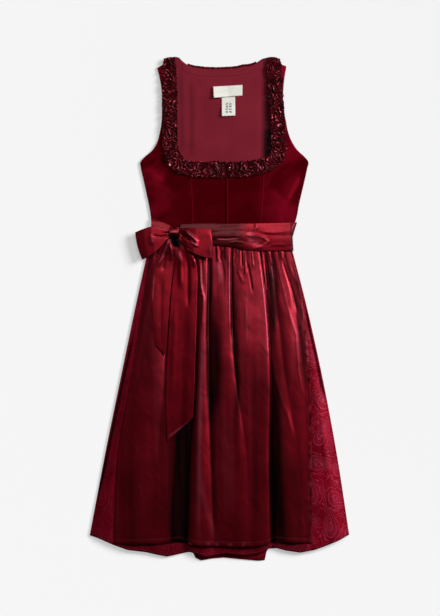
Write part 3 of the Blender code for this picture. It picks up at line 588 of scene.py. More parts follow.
# %% Bodice tables
WAIST_Y = 169.9
NECK_Y = 342.6
CENTRE_X = 15.0
BACK_TOP = 1.8
LINING_TOP = 3.45
SEAM_GAP = 0.3
BODICE_SIDES = (
    # y, left, right
    (566.6, -146.6, 156.3),
    (543.6, -140.8, 152.3),
    (515.4, -136.3, 149.5),
    (473.1, -135.4, 149.9),
    (440.2, -136.3, 156.0),
    (416.7, -140.1, 160.7),
    (388.5, -148.3, 172.5),
    (372.0, -158.9, 184.2),
    (357.9, -175.3, 199.5),
    (346.2, -185.7, 208.4),
    (332.1, -184.7, 205.9),
    (303.9, -178.6, 199.8),
    (275.7, -172.5, 193.2),
    (247.5, -166.4, 186.6),
    (219.3, -161.7, 181.4),
    (195.8, -159.8, 174.8),
    (169.9, -159.3, 166.9),
)
BACK_EDGE = (
    # x, y, width of the trim behind it
    (-146.6, 566.6, 0),
    (-134.2, 574.1, 0),
    (-123.6, 588.7, 0),
    (-114.2, 592.0, 0),
    (-103.9, 593.4, 0),
    (-94.9, 591.0, 0),
    (-87.4, 583.0, 0),
    (-76.6, 577.9, 3.2),
    (-62.5, 573.6, 3.2),
    (-41.4, 570.3, 3.2),
    (-13.2, 568.7, 3.2),
    (17.4, 569.9, 3.2),
    (40.9, 571.5, 3.2),
    (52.6, 575.0, 3.2),
    (71.4, 576.5, 3.2),
    (87.9, 583.0, 3.2),
    (99.6, 588.2, 0),
    (116.1, 592.4, 0),
    (130.2, 592.9, 0),
    (141.5, 586.8, 0),
    (146.6, 574.1, 0),
    (156.3, 570.8, 0),
)
SHOULDER_LEFT = (566.6, 589.1)
SHOULDER_RIGHT = (570.8, 582.1)
SIDE_FRONT_INNER = (
    # y, left piece, right piece
    (566.6, -104.8, 117.5),
    (473.1, -101.5, 120.8),
    (388.5, -98.9, 126.4),
    (369.7, -94.2, 124.6),
    (355.6, -84.8, 116.1),
    (341.5, -70.5, 101.1),
    (313.3, -69.6, 100.6),
    (256.9, -66.7, 97.8),
    (169.9, -63.5, 91.7),
)
PRINCESS_LEFT, PRINCESS_RIGHT = -69.6, 99.6
print("widest bodice:", round(max(right - left for y, left, right in BODICE_SIDES), 1), "mm")


def column(table, number):
    return [row[number] for row in table]


def bodice_edge(y, side):
    return curve(y, column(BODICE_SIDES, 0), column(BODICE_SIDES, side))


def inner_edge(y, side):
    return np.interp(y, column(SIDE_FRONT_INNER, 0)[::-1], column(SIDE_FRONT_INNER, side)[::-1])


def bust(x, y):
    """How far the front stands off the back."""
    left, right = bodice_edge(y, 1), bodice_edge(y, 2)
    edge = smooth(np.minimum(x - left, right - x) / 75)
    tall = smooth((397.9 - y) / 55) * (1 - 0.55 * smooth((266.3 - y) / 60))
    side = np.exp(-((x - PRINCESS_LEFT) / 55) ** 2) + np.exp(-((x - PRINCESS_RIGHT) / 55) ** 2)
    return edge * tall * (2.4 + 4.2 * side)


# %% Back, lining and facing
edge = np.array(BACK_EDGE)
s, t = row_shares(90), column_shares(90)
top = np.interp(between(edge[0, 0], edge[-1, 0], s), edge[:, 0], edge[:, 1] - edge[:, 2])
y = between(top, WAIST_Y, t)
left, right = bodice_edge(y, 1), bodice_edge(y, 2)
cloth("velvet_back", "bodice_back", (between(left, right, s), y, BACK_TOP), 1.7, velvet)

LINING_CREASES = (
    # points of the crease, width, height
    (((-71.9, 543.6), (-68.4, 468.4), (-71.9, 355.6)), 7, -0.7),
    (((-57.8, 543.6), (-55.5, 468.4), (-60.2, 355.6)), 9, 0.5),
)
LINING_SHADES = (
    # points along the painted shade, width, strength
    (((113.7, 426.1), (113.7, 383.8), (109.0, 360.3)), 9, 0.6),
    (((-68.4, 557.7), (-66.0, 468.4), (-66.0, 346.2)), 6, 0.2),
    (((-90.7, 571.8), (-89.5, 468.4), (-86.0, 360.3)), 6, 0.3),
)
LINING_INSET = 3
DIP_X = 87.9  # right of it the lining dips under the trim
SHADE_X = 91.4  # right of it the front throws its shade
x = between(left + LINING_INSET, right - LINING_INSET, s)
y = between(top - 2.4, WAIST_Y, t)
z = LINING_TOP + 0.25 * waviness(x, y, 5, 40) + creases(x, y, LINING_CREASES)
z = z - 1.2 * smooth((x - DIP_X) / 14)
# Painted shadow of the front and its trim on the lining's right side, and painted shade along its creases.
hollow = 0.78 * smooth((x - SHADE_X) / 20) * (0.6 + 0.4 * smooth((529.5 - y) / 60))
hollow = hollow * smooth((y - 172.3) / 30)
cloth("back_lining", "bodice_back_lining", (x, y, z), 1.0, lining_cloth,
      hollow=hollow + creases(x, y, LINING_SHADES))

x = np.linspace(-88.4, PRINCESS_RIGHT, 80)[None, :]
y = np.interp(x, edge[:, 0], edge[:, 1]) - 6 - 16 * column_shares(12)
x = x + 0 * y
cloth("back_neck_facing", "neck_facing", (x, y, LINING_TOP + 0.35 + 0.1 * waviness(x, y, 6, 20)), 0.3,
      lining_cloth)

# %% Four front panels
SHEEN_PATCHES = (
    # points along a patch of painted sheen, or of painted shade where the strength is below 0, width,
    # strength
    (((-180.0, 336.8), (-158.9, 322.7), (-121.3, 303.9)), 9, 0.45),
    (((188.9, 315.6), (181.9, 296.8), (167.8, 271.0), (158.4, 249.8)), 3.6, 1.6),
    (((-130.7, 271.0), (-107.2, 242.8), (-79.0, 205.2)), 12, -0.3),
    (((-161.2, 320.3), (-144.8, 308.6), (-128.3, 299.2)), 5, 0.5),
    (((203.0, 346.2), (188.9, 322.7), (160.7, 280.4), (151.3, 224.0)), 14, 0.35),
    (((-147.1, 576.5), (-140.1, 560.0), (-135.4, 529.5)), 12, 1.8),
    (((156.0, 581.2), (149.0, 564.7), (146.6, 538.9)), 12, 2.1),
    (((-134.4, 538.9), (-134.0, 444.9), (-144.8, 388.5), (-182.4, 343.8)), 3, 0.5),
    (((148.1, 538.9), (153.7, 444.9), (170.1, 388.5), (205.4, 343.8)), 3, 0.5),
    (((-183.8, 336.8), (-171.6, 275.7), (-161.2, 219.3)), 3, 0.35),
)
SEAM_FROM, SHEEN_FROM, CLOSED_FROM = 343.8, 332.1, 313.3  # where seams, the painted sheen and the zip begin


def front_panel(name, x, y):
    z = LINING_TOP + 2.25 + bust(x, y) + 0.35 * waviness(x, y, 11, 26)
    # Painted sheen on the pile: lighter along the listed patches and in thin lines beside the seams, darker
    # in one patch.
    nap = 0.08 * waviness(x, y, 13, 12) + creases(x, y, SHEEN_PATCHES, 0.35)
    for side, sign in ((1, 1), (2, -1)):
        gap = x - inner_edge(y, side)
        seam = np.exp(-((gap - 1.2) / 1.8) ** 2) - 0.9 * np.exp(-((gap + 1.6) / 1.6) ** 2)
        z = z + smooth((SEAM_FROM - y) / 8) * seam
        z = z - 1.4 * np.exp(-np.clip((x - bodice_edge(y, side)) * sign, 0, None) / 2.2)
        nap = nap + 0.55 * np.exp(-((gap - 1.4) / 1.9) ** 2) * smooth((SHEEN_FROM - y) / 10)
    z = z - 1.2 * np.exp(-((x - CENTRE_X + 0.6) / 1.6) ** 2) * smooth((CLOSED_FROM - y) / 8)
    cloth(name, "bodice_" + name, (x, y, z), 1.7, velvet, nap=nap)


def side_front(name, side, shoulder):
    """One side front: rows run level, but for the first ones, which follow the shoulder seam."""
    share = row_shares(48)
    y = between(between(*shoulder, share), WAIST_Y, column_shares(110))
    inner = inner_edge(y, side) + (SEAM_GAP if side == 2 else -SEAM_GAP)
    x = between(bodice_edge(y, side), inner, share)
    front_panel(name, x if side == 1 else x[:, ::-1], y if side == 1 else y[:, ::-1])


side_front("side_front_left", 1, SHOULDER_LEFT)
side_front("side_front_right", 2, SHOULDER_RIGHT)
s = row_shares(46)
y = np.linspace(NECK_Y, WAIST_Y, 70)[:, None] + 0 * s
left = np.maximum(inner_edge(y, 1), -70.5) + SEAM_GAP
right = np.minimum(inner_edge(y, 2), 101.1) - SEAM_GAP
front_panel("centre_front_left", between(left, CENTRE_X - SEAM_GAP, s), y)
front_panel("centre_front_right", between(CENTRE_X + SEAM_GAP, right, s), y)
FRONTS = ["side_front_left", "side_front_right", "centre_front_left", "centre_front_right"]

# %% Lip over the front zip
s = np.linspace(-0.6, 4.8, 12)[None, :]
y = np.linspace(309.5, 200.5, 70)[:, None] + 0 * s
x = CENTRE_X + s + 0.35 * np.sin(y / 17)
z = draped(x, y, FRONTS, 1.5, 20, 5, 1) + 1.5 + 0.5 * np.sin(math.pi * (s + 0.6) / 5.4)
# Painted sheen along one edge of the lip.
cloth("zip_lip", "front_placket", (x, y, z), 1.1, velvet, nap=0 * x + 0.6 * smooth((s - 2.6) / 2))

# %% [markdown]
# ## Skirt and apron
# Both are gathered into the waist seam and fall in long folds. The fold lines are rows of one
# table: where each valley runs at five heights and how deep it is there. The grid's columns follow
# these lines, so a sharp valley stays sharp. The apron takes the skirt's folds, adds its own, and
# has small gathers that die out at different lengths below the sash.

# %% Fold table
FOLD_Y = (169.9, 21.9, -142.6, -330.6, -553.9)
FOLDS = (
    # name, x at the five heights, depth at the five heights, gathers to the next line
    ("left_side", (-161.2, -194.1, -228.4, -267.0, -309.3), (1, 1, 1, 1, 1), 1),
    ("left_strip", (-159.3, -189.9, -218.1, -251.7, -277.5), (0, 0.2, 0.3, 0.3, 0.3), 1),
    ("apron_left", (-157.5, -179.5, -203.0, -236.9, -248.2), (1, 0.6, 0.35, 0.2, 0.1), 3),
    ("bow_fold", (-114.2, -114.2, -126.0, -144.8, -163.6), (1, 0.9, 0.5, 0.2, 0), 3),
    ("deep_pocket", (-55.5, -53.1, -57.8, -70.7, -79.0), (0.8, 0.8, 0.8, 1, 1), 2),
    ("tie_edge", (-29.6, -24.9, -26.1, -20.2, -10.8), (0.8, 0.8, 0.7, 0.5, 0.35), 3),
    ("centre_fold", (28.0, 29.1, 36.2, 62.0, 71.4), (0.5, 0.5, 0.35, 0.15, 0.05), 4),
    ("sharp_fold", (90.2, 109.0, 120.8, 119.6, 123.1), (0.5, 0.7, 0.8, 0.7, 0.6), 2),
    ("slant_fold", (116.1, 132.5, 151.3, 181.9, 188.9), (0.5, 0.5, 0.45, 0.25, 0.1), 2),
    ("edge_fold", (144.3, 174.8, 196.0, 204.2, 206.6), (0.5, 0.4, 0.3, 0.1, 0), 1),
    ("apron_right", (157.0, 193.6, 211.0, 214.8, 215.7), (1, 0.7, 0.5, 0.4, 0.3), 3),
    ("right_strip", (158.9, 196.0, 220.9, 239.5, 254.7), (0, 0.1, 0.1, 0.1, 0.1), 2),
    ("right_outer", (160.5, 198.3, 229.8, 257.1, 282.9), (0, 0.1, 0.1, 0.1, 0.1), 1),
    ("right_side", (162.2, 200.7, 237.8, 273.5, 307.9), (1, 1, 1, 1, 1), 0),
)
LAST = len(FOLDS) - 1
APRON_FIRST, APRON_LAST = 2, 10
HEM_GUESS = -556.2  # where a panel's hem is first looked for
PLAIN_FLANKS = (11, 11)
FLANKS = {
    # fold: width of the slope at its left, and at its right, in millimetres
    "left_strip": (8, 8),
    "bow_fold": (9, 16),
    "deep_pocket": (24, 7),
    "tie_edge": (5, 24),
    "centre_fold": (4, 18),
    "sharp_fold": (3.2, 16),
    "slant_fold": (14, 14),
    "edge_fold": (8, 8),
    "right_strip": (3, 3),
    "right_outer": (2, 2),
}
APRON_HEM = (
    # x, y
    (-309.3, -504.5), (-281.1, -521.0), (-248.2, -550.1), (-201.2, -550.6), (-140.1, -549.2),
    (-97.8, -544.5), (-46.1, -553.9), (5.6, -555.1), (71.4, -556.2), (99.6, -553.9),
    (132.5, -543.3), (165.4, -546.8), (214.8, -549.2), (259.4, -528.0), (307.9, -504.5),
)
SKIRT_HEM = (
    # x, y
    (-309.3, -529.2), (-285.8, -536.3), (-248.2, -552.5), (-215.3, -564.2), (-173.0, -569.4),
    (-144.8, -576.0), (-123.6, -580.2), (-88.4, -572.7), (-69.6, -568.9), (-32.0, -580.7),
    (15.0, -572.7), (57.3, -577.4), (94.9, -571.8), (123.1, -557.2), (156.0, -565.6),
    (188.9, -570.3), (221.8, -564.2), (250.0, -553.9), (278.2, -542.1), (307.9, -527.1),
)
BACK_HEM = (
    # x, y
    (-309.3, -518.6), (-163.6, -558.6), (-64.9, -564.5), (-57.8, -583.0), (-43.7, -590.1),
    (-17.9, -585.4), (10.3, -583.0), (47.9, -586.8), (90.2, -590.6), (106.7, -589.1),
    (111.4, -562.1), (188.9, -558.6), (307.9, -516.3),
)
print("fold lines:", [row[0] for row in FOLDS])


def line_x(k, y):
    return curve(y, FOLD_Y, FOLDS[k][1])


def depth(k, y):
    return np.clip(curve(y, FOLD_Y, FOLDS[k][2]), 0, 1)


def fold_x(spots, y):
    """x of grid columns at heights y; a column's spot counts fold lines from the left."""
    x = np.zeros_like(y)
    for k in range(LAST):
        here = (spots >= k) & ((spots < k + 1) | (k == LAST - 1))
        part = y[:, here]
        x[:, here] = line_x(k, part) + (line_x(k + 1, part) - line_x(k, part)) * (spots[here] - k)
    return x


def fold_grid(spots, shares, hem):
    """x and y of a gathered panel: shares run from the waist seam, 0, to its hem, 1."""
    table = np.array(hem)
    y = between(WAIST_Y, HEM_GUESS, shares[:, None]) + 0 * spots
    for _ in range(6):
        y = between(WAIST_Y, np.interp(fold_x(spots, y), table[:, 0], table[:, 1]), shares[:, None])
    return fold_x(spots, y), y


def run_down(y):
    return np.clip((WAIST_Y - y) / (WAIST_Y - FOLD_Y[4]), 0, 1.05)


def valleys(x, y, first, last, stretch):
    """Share of the folds' height left at each point: none in the bottom of a full fold line."""
    left = np.ones_like(x)
    for k in range(first, last + 1):
        before, after = FLANKS.get(FOLDS[k][0], PLAIN_FLANKS)
        if FOLDS[k][0] != "sharp_fold":
            before = before * (1 + 1.6 * smooth(run_down(y)))
        gap = x - line_x(k, y)
        gap = np.where(gap < 0, gap / before, gap / after) / stretch
        away = np.sqrt(gap ** 2 + 0.02) - 0.14
        left = left * (1 - depth(k, y) * np.exp(-away))
    return left


def skirt_height(x, y):
    side = smooth(np.minimum(x - line_x(0, y), line_x(LAST, y) - x) / 30 + 0.02)
    rise = 1.6 + 7.5 * smooth(run_down(y) * 2.4)
    z = 4.15 + rise * side * valleys(x, y, 1, LAST - 1, 1.3)
    return z + 0.5 * side * waviness(x, y, 21, 30, stretch=3)


# %% Skirt, front and back
x, y = fold_grid(np.linspace(0, LAST, 261), np.linspace(0, 1, 150), SKIRT_HEM)
z = skirt_height(x, y)
SIDE_FOLDS = (
    # points of the fold's line with painted shade, width, depth
    (((197.2, 21.9), (210.1, -48.6), (226.5, -119.1), (237.4, -175.5), (250.0, -227.2)), 2.6, 2.6),
    (((-196.5, -25.1), (-229.4, -175.5), (-262.3, -330.6), (-295.2, -485.7)), 3.0, 1.8),
)
HEM_SHADE = (-252.9, 212.4, -537.4)  # left, right and top of the painted shade under the apron's hem
# Painted shade beside the apron's edges, under its hem and in the side folds.
hollow = 0.4 * np.exp(-np.abs(x - line_x(APRON_LAST, y)) / 3)
hollow = hollow + 0.3 * smooth((line_x(APRON_FIRST, y) + 10 - x) / 8)
left, right, top = HEM_SHADE
hollow = hollow + 0.45 * smooth(np.minimum(x - left, right - x) / 12) * smooth((top - y) / 14)
for path, width, height in SIDE_FOLDS:
    z = z - crease(x, y, path, width, height)
    hollow = hollow + crease(x, y, path, width, 0.8)
cloth("skirt_front_panel", "skirt_front", (x, y, z), 1.3, jacquard, hollow=hollow)

table = np.array(BACK_HEM)
s, t = row_shares(160), column_shares(60)
low = np.interp(between(table[0, 0], table[-1, 0], s), table[:, 0], table[:, 1])
y = between(WAIST_Y - 22, low, t)
x = between(line_x(0, y), line_x(LAST, y), s)
z = 1.8 + 0.45 * (1 + waviness(x, y, 23, 22)) * smooth((t - 0.9) * 10)
cloth("skirt_back_panel", "skirt_back", (x, y, z), 1.6, jacquard)

# %% Creases and shades of the apron
APRON_RIDGES = (
    # points of the ridge, width, height
    (((-5.2, 148.8), (-4.5, 111.2)), 2.6, 3.0),
    (((10.3, 148.8), (8.0, 120.6), (12.7, 87.7)), 3.0, 1.6),
    (((22.8, 148.8), (23.0, 26.6), (23.5, -72.1)), 2.6, 2.2),
    (((45.6, 144.1), (45.6, 111.2), (44.6, 87.7), (55.7, 59.5)), 3.2, 2.0),
    (((60.6, 144.1), (60.6, 78.3)), 2.4, 2.6),
    (((75.7, 144.1), (79.0, 97.1)), 2.2, 2.4),
    (((88.8, 141.7), (95.4, 95.4), (102.0, 52.4), (106.9, 10.1), (112.6, -48.6),
      (118.4, -142.6), (120.1, -307.1)), 3.0, 2.4),
    (((98.7, 141.7), (102.0, 78.3)), 1.8, 2.0),
    (((115.2, 139.4), (122.7, 101.8)), 2.4, 2.2),
    (((125.0, 141.7), (138.2, 120.6), (143.1, 72.4), (156.3, 16.2),
      (166.4, -20.0), (178.8, -56.9), (184.2, -142.6), (196.0, -208.4)), 2.6, 1.2),
    (((144.8, 139.4), (146.6, 115.9)), 2.4, 2.6),
    (((153.0, 139.4), (161.2, 105.3), (174.6, 75.9), (187.8, 52.4)), 4.0, 1.0),
    (((117.5, -76.8), (122.4, -112.1), (130.2, -163.8), (145.5, -215.5), (158.4, -246.0),
      (178.8, -318.9)), 5.0, 1.6),
    (((-45.4, 125.3), (-44.2, 59.5), (-38.1, 21.9), (-42.3, -58.0)), 3.4, 2.6),
    (((-37.4, 54.8), (-46.1, 38.3), (-33.1, 28.9)), 2.2, 1.6),
    (((62.3, 31.3), (63.2, -6.3), (67.2, -48.6)), 5.0, 1.4),
    (((64.4, 111.2), (59.7, 78.3), (55.7, 54.8)), 3.4, 1.4),
    (((-140.1, 111.2), (-168.3, 21.9), (-191.8, -95.6), (-210.6, -213.1)), 9.0, 1.4),
    (((38.5, -48.6), (47.9, -166.1), (43.2, -283.6), (57.3, -448.1)), 9.0, 1.2),
    (((-43.7, -260.1), (-43.7, -401.1), (-36.7, -542.1)), 10.0, 1.6),
    (((188.9, 21.9), (196.0, -20.4), (186.6, -48.6)), 3.6, 1.8),
    (((172.5, 111.2), (184.2, 83.0), (196.0, 31.3)), 3.0, 0.8),
)
APRON_VALLEYS = (
    # points of the valley, width, depth
    (((-22.6, 148.8), (-22.6, 59.5), (-27.5, -6.3), (-29.1, -100.3)), 3.6, 2.6),
    (((28.2, 148.8), (28.7, 26.6), (29.6, -83.9)), 2.6, 3.2),
    (((51.7, 146.4), (52.4, 97.1)), 2.2, 2.4),
    (((64.9, 111.2), (73.8, 59.5), (77.3, 36.0)), 2.6, 2.0),
    (((92.8, 141.7), (100.3, 92.4), (106.7, 45.4)), 1.8, 2.2),
    (((104.1, 139.4), (107.6, 92.4), (112.3, 40.7)), 2.0, 2.2),
    (((120.1, 141.7), (126.7, 105.3), (130.7, 72.4), (130.7, 26.6),
      (135.6, -48.6)), 6.0, 1.8),
    (((149.7, 141.7), (149.7, 105.3), (161.2, 68.9), (172.0, 34.5),
      (186.6, -20.4)), 3.2, 1.8),
    (((2.4, 146.4), (1.9, 111.2)), 2.2, 1.8),
    (((38.5, 139.4), (33.8, 101.8)), 2.2, 1.4),
    (((-83.7, -260.1), (-88.4, -401.1), (-90.7, -553.9)), 12.0, 2.0),
)
SHADED = (
    # points along a patch of painted shade, width, strength
    (((-97.8, -48.6), (-97.8, -330.6), (-109.5, -636.1)), 17, 0.5),
    (((-121.3, -48.6), (-121.3, -330.6), (-135.4, -636.1)), 26, 0.3),
    (((-24.0, 148.8), (-24.9, 21.9), (-24.9, -95.6), (-22.6, -283.6)), 6, 1.5),
    (((-17.9, 7.8), (-8.5, -58.0), (-6.1, -142.6), (-13.2, -283.6)), 12, 0.85),
    (((-17.9, -166.1), (-15.5, -330.6), (-8.5, -589.1)), 8, 0.35),
    (((27.7, 172.3), (28.2, 26.6), (31.5, -95.6), (43.2, -189.6)), 2.4, 1.0),
    (((33.8, 111.2), (36.2, -48.6), (43.2, -166.1), (38.5, -330.6)), 8, 0.8),
    (((126.4, 148.8), (127.8, 21.9), (127.8, -119.1)), 7, 0.5),
    (((113.7, 139.4), (119.9, 45.4), (125.5, -72.1)), 9, 0.8),
    (((125.5, -48.6), (130.2, -213.1), (137.2, -377.6), (151.3, -683.1)), 18, 0.85),
    (((119.9, -307.1), (123.1, -424.6), (125.5, -636.1)), 8, 0.7),
    (((158.4, 148.8), (179.5, 68.9), (191.3, -36.9), (200.7, -213.1)), 16, 0.75),
    (((5.6, 144.1), (8.0, 125.3), (15.0, 111.2)), 6, 0.4),
    (((57.3, 148.8), (71.4, 125.3), (80.8, 111.2)), 5, 0.3),
    (((76.1, -72.1), (85.5, -260.1), (80.8, -589.1)), 12, 0.4),
    (((170.1, -283.6), (181.9, -448.1), (179.5, -636.1)), 16, 0.45),
    (((-210.6, -330.6), (-198.8, -448.1), (-187.1, -636.1)), 24, 0.25),
)
# The painted shade of the dark pocket beside the deepest fold, point by point.
POCKET = ((-76.6, -48.6), (-79.0, -213.1), (-83.7, -286.0), (-90.7, -403.5), (-97.8, -523.3),
          (-100.1, -612.6))
LIT = (
    # points along a crease with a painted highlight, width, strength
    (((-45.1, 111.2), (-42.8, 59.5), (-35.7, 31.3), (-36.7, -1.6)), 2.4, 0.4),
    (((-39.0, 21.9), (-41.4, -48.6), (-44.6, -213.1), (-48.4, -354.1), (-48.4, -589.1)), 5.0, 0.3),
    (((-48.4, -354.1), (-36.7, -448.1), (-13.2, -518.6), (5.6, -589.1)), 6.0, 0.12),
    (((22.8, 139.4), (23.0, 45.4), (23.5, -48.6)), 1.6, 0.25),
    (((92.6, 139.4), (97.3, 92.4), (104.3, 21.9), (111.4, -48.6), (115.2, -147.3)), 1.8, 0.3),
    (((126.9, 134.7), (138.2, 120.6), (143.1, 72.4), (156.3, 16.2),
      (166.4, -20.0), (178.8, -56.9), (184.2, -142.6)), 3.0, 0.12),
    (((62.0, 21.9), (63.0, -25.1), (66.7, -95.6)), 2.2, 0.25),
    (((15.0, -213.1), (19.7, -330.6), (24.4, -518.6)), 12, 0.06),
    (((-1.4, 125.3), (0.9, 87.7), (3.3, 54.8)), 6, 0.3),
)
print(len(APRON_RIDGES) + len(APRON_VALLEYS), "creases,", len(SHADED) + len(LIT), "shades and lights")

# %% Apron
GATHER_COLUMNS = 14  # grid columns for each gather
APRON_LENGTH = 720
HEM_INSET = 11  # its hem is sewn this far up
spots = [k + i / (FOLDS[k][3] * GATHER_COLUMNS) for k in range(APRON_FIRST, APRON_LAST)
         for i in range(FOLDS[k][3] * GATHER_COLUMNS)]
spots = np.array(spots + [float(APRON_LAST)])
shares = np.linspace(0, 1, 168) ** 1.3
x, y = fold_grid(spots, shares, APRON_HEM)
run = run_down(y)
rng = np.random.default_rng(4)
gathers, teeth = np.zeros_like(x), np.zeros_like(x)
for k in range(APRON_FIRST, APRON_LAST):
    count = FOLDS[k][3]
    for g in range(count):
        here = (spots >= k + g / count) & (spots <= k + (g + 1) / count)
        part = (spots[here] - k) * count - g
        reach = rng.uniform(0.05, 0.16)
        size = rng.uniform(1.2, 2.4)
        fade = np.exp(-((run[:, here] / reach) ** 2))
        arch = (np.sin(math.pi * np.clip(part, 0.001, 0.999)) ** 0.8)[None, :]
        gathers[:, here] = size * fade * arch
        # Painted shade between the gathers, strongest where they start.
        teeth[:, here] = fade * (1 - arch) ** 1.5
margin = np.minimum(x - line_x(APRON_FIRST, y), line_x(APRON_LAST, y) - x)
edge = smooth(margin / (14 + 50 * smooth(run * 2)))
own = (0.4 + 6.5 * smooth(run * 2.6)) * valleys(x, y, APRON_FIRST, APRON_LAST, 0.9) * edge
z = skirt_height(x, y) + 1.5 + 0.6 * edge + own + gathers
z = z + 0.5 * creases(x, y, APRON_RIDGES) - 0.8 * creases(x, y, APRON_VALLEYS)
near_waist = 1 - smooth(run * 3.2)
high_waves = 0.7 * waviness(x, y, 31, 12, stretch=4)
high_waves = high_waves + 0.4 * near_waist * waviness(x, y, 33, 7, stretch=2.2)
z = z + edge * high_waves
low_waves = 0.9 * waviness(x, y, 35, 17, stretch=7) + 0.35 * waviness(x, y, 37, 8, stretch=2)
z = np.maximum(z + edge * (1 - near_waist) * low_waves, skirt_height(x, y) + 1.5)
above_hem = (1 - shares[:, None]) * APRON_LENGTH
z = z - 0.3 * np.exp(-((above_hem - HEM_INSET) / 1.3) ** 2)
print("apron grid:", x.shape, "from", APRON_LAST - APRON_FIRST, "folds")

# %% Painted shade and light on the apron
LIGHT_FROM = -283.6  # above this height it gets more painted light
CURL_LEFT, CURL_RIGHT = -36.7, 71.4  # the hem curls up between these, where it gets painted highlights
# Painted shade: in the relief's hollows, between the gathers, along the listed patches and the pocket, and in
# the puckers by the right seam. Painted highlights: faint streaks towards the waist, more light higher up,
# the listed creases, the puckers and the curled hem.
hollow = 0.08 + 1.05 * edge * smooth((blur(z, 50) - z) / 3.2) + 1.1 * teeth + creases(x, y, SHADED, 0.3)
hollow = hollow + crease(x, y, POCKET, 11, 2.5, 0.12) * smooth((line_x(APRON_FIRST + 2, y) + 1.5 - x) / 4)
lit = 0.05 * np.clip(waviness(x, y, 71, 3.2, stretch=28), 0, 1) * smooth(run * 3)
lit = lit + 0.055 * smooth((y - LIGHT_FROM) / 280) + creases(x, y, LIT, 0.3)
seam = np.exp(-((line_x(APRON_LAST, y) - x) / 6) ** 2) * smooth((run - 0.2) * 8)
pucker = waviness(x, y, 73, 4)
hollow = hollow + 0.9 * seam * np.clip(pucker, 0, 1)
turned_up = np.exp(-((above_hem - 5) / 5) ** 2) * smooth((x - CURL_LEFT) / 14)
turned_up = turned_up * smooth((CURL_RIGHT - x) / 14)
lit = lit + 0.35 * seam * np.clip(-pucker, 0, 1)
lit = lit + 0.7 * turned_up * np.clip(waviness(x, y, 75, 2.6), 0, 1)
cloth("gathered_apron", "apron", (x, y, z), 1.2, satin, hollow=hollow, lit=lit)

# %% [markdown]
# ## Sash, bow and ties
# The sash is soft satin pulled into lengthwise pleats. Its left stretch comes down across the
# bodice to the knot, and each bow loop is one strip of cloth that runs out, turns and comes back.
# The two ends hang down over the apron and bridge its folds.

# %% Sash tables
SASH = (
    # x, upper y, lower y
    (-93.1, 199.5, 146.4),
    (-69.6, 200.5, 146.4),
    (-41.4, 201.4, 147.8),
    (-10.8, 201.9, 150.2),
    (24.4, 201.9, 146.4),
    (59.7, 201.9, 138.9),
    (99.6, 202.3, 136.5),
    (137.2, 203.3, 136.5),
    (164.5, 204.2, 137.0),
)
SASH_SIDE = (
    # y, x
    (205.2, 179.5),
    (169.9, 169.2),
    (137.0, 171.1),
)
SASH_LEFT = (
    # x, upper y, lower y
    (-160.3, 213.1, 155.8),
    (-140.1, 207.0, 155.8),
    (-118.9, 199.0, 153.5),
    (-94.9, 192.0, 146.4),
)
SASH_CREASES = (
    # points of the crease, width, height
    (((55.0, 172.3), (87.9, 173.2), (104.3, 167.6), (113.7, 158.2), (99.6, 146.4),
      (71.4, 141.7)), 3.0, 2.6),
    (((62.0, 167.6), (85.5, 160.5), (71.4, 148.8)), 5.0, -1.4),
    (((78.5, 202.8), (87.0, 191.1), (71.4, 181.7)), 2.4, 2.2),
    (((-15.5, 174.6), (15.0, 173.2), (47.9, 177.0)), 2.4, 1.6),
    (((-15.5, 166.6), (15.0, 166.1), (47.9, 168.5)), 2.2, -1.6),
    (((-13.2, 188.7), (15.0, 193.4), (62.0, 194.8)), 2.4, -1.0),
    (((90.2, 181.7), (123.1, 179.3), (165.4, 184.0)), 4.0, 1.2),
    (((99.6, 146.4), (137.2, 151.1), (165.4, 148.8)), 4.0, 1.0),
    (((19.7, 154.6), (38.5, 158.2), (62.0, 155.8)), 3.0, 1.2),
)
SASH_LIT = (
    # points along a hair-thin crest with a painted highlight
    ((87.0, 202.8), (87.0, 193.4), (82.2, 184.0), (64.4, 177.4), (78.5, 171.3),
     (99.6, 169.0), (112.3, 161.9), (111.4, 154.4), (98.2, 139.4)),
    ((-13.2, 172.3), (15.0, 171.3), (47.9, 174.6)),
    ((-8.5, 164.3), (19.7, 163.3), (47.9, 166.1)),
)
HAIR_WIDTH, HAIR_STRENGTH = 1.3, 0.35
print("sash:", round(SASH[-1][0] - SASH[0][0], 1), "mm across")
UNDER_SASH = FRONTS + ["gathered_apron", "skirt_front_panel"]
# The outline of the painted shade in the opening under the knot.
KNOT_OPENING = ((-116.1, 170.8), (-109.0, 175.1), (-96.4, 167.1), (-87.9, 152.5),
                (-90.7, 145.5), (-103.9, 145.0), (-113.7, 155.3))


def knot_shade(x, y):
    """The painted shade of the opening under the knot, on whichever piece lies there: its corners run
    clockwise.
    """
    inside = np.full(np.shape(x), 1e9)
    for (ax, ay), (bx, by) in zip(KNOT_OPENING, KNOT_OPENING[1:] + KNOT_OPENING[:1]):
        across = ((x - ax) * (by - ay) - (y - ay) * (bx - ax)) / math.hypot(bx - ax, by - ay)
        inside = np.minimum(inside, across)
    return smooth((inside + 1.4) / 3.6)


def band_grid(table, rows, columns):
    """x and y of a band between an upper and a lower edge, and the share of the way down."""
    data = np.array(table)
    v = column_shares(rows)
    x = between(data[0, 0], data[-1, 0], row_shares(columns)) + 0 * v
    return x, between(*(np.interp(x, data[:, 0], data[:, k]) for k in (1, 2)), v), v


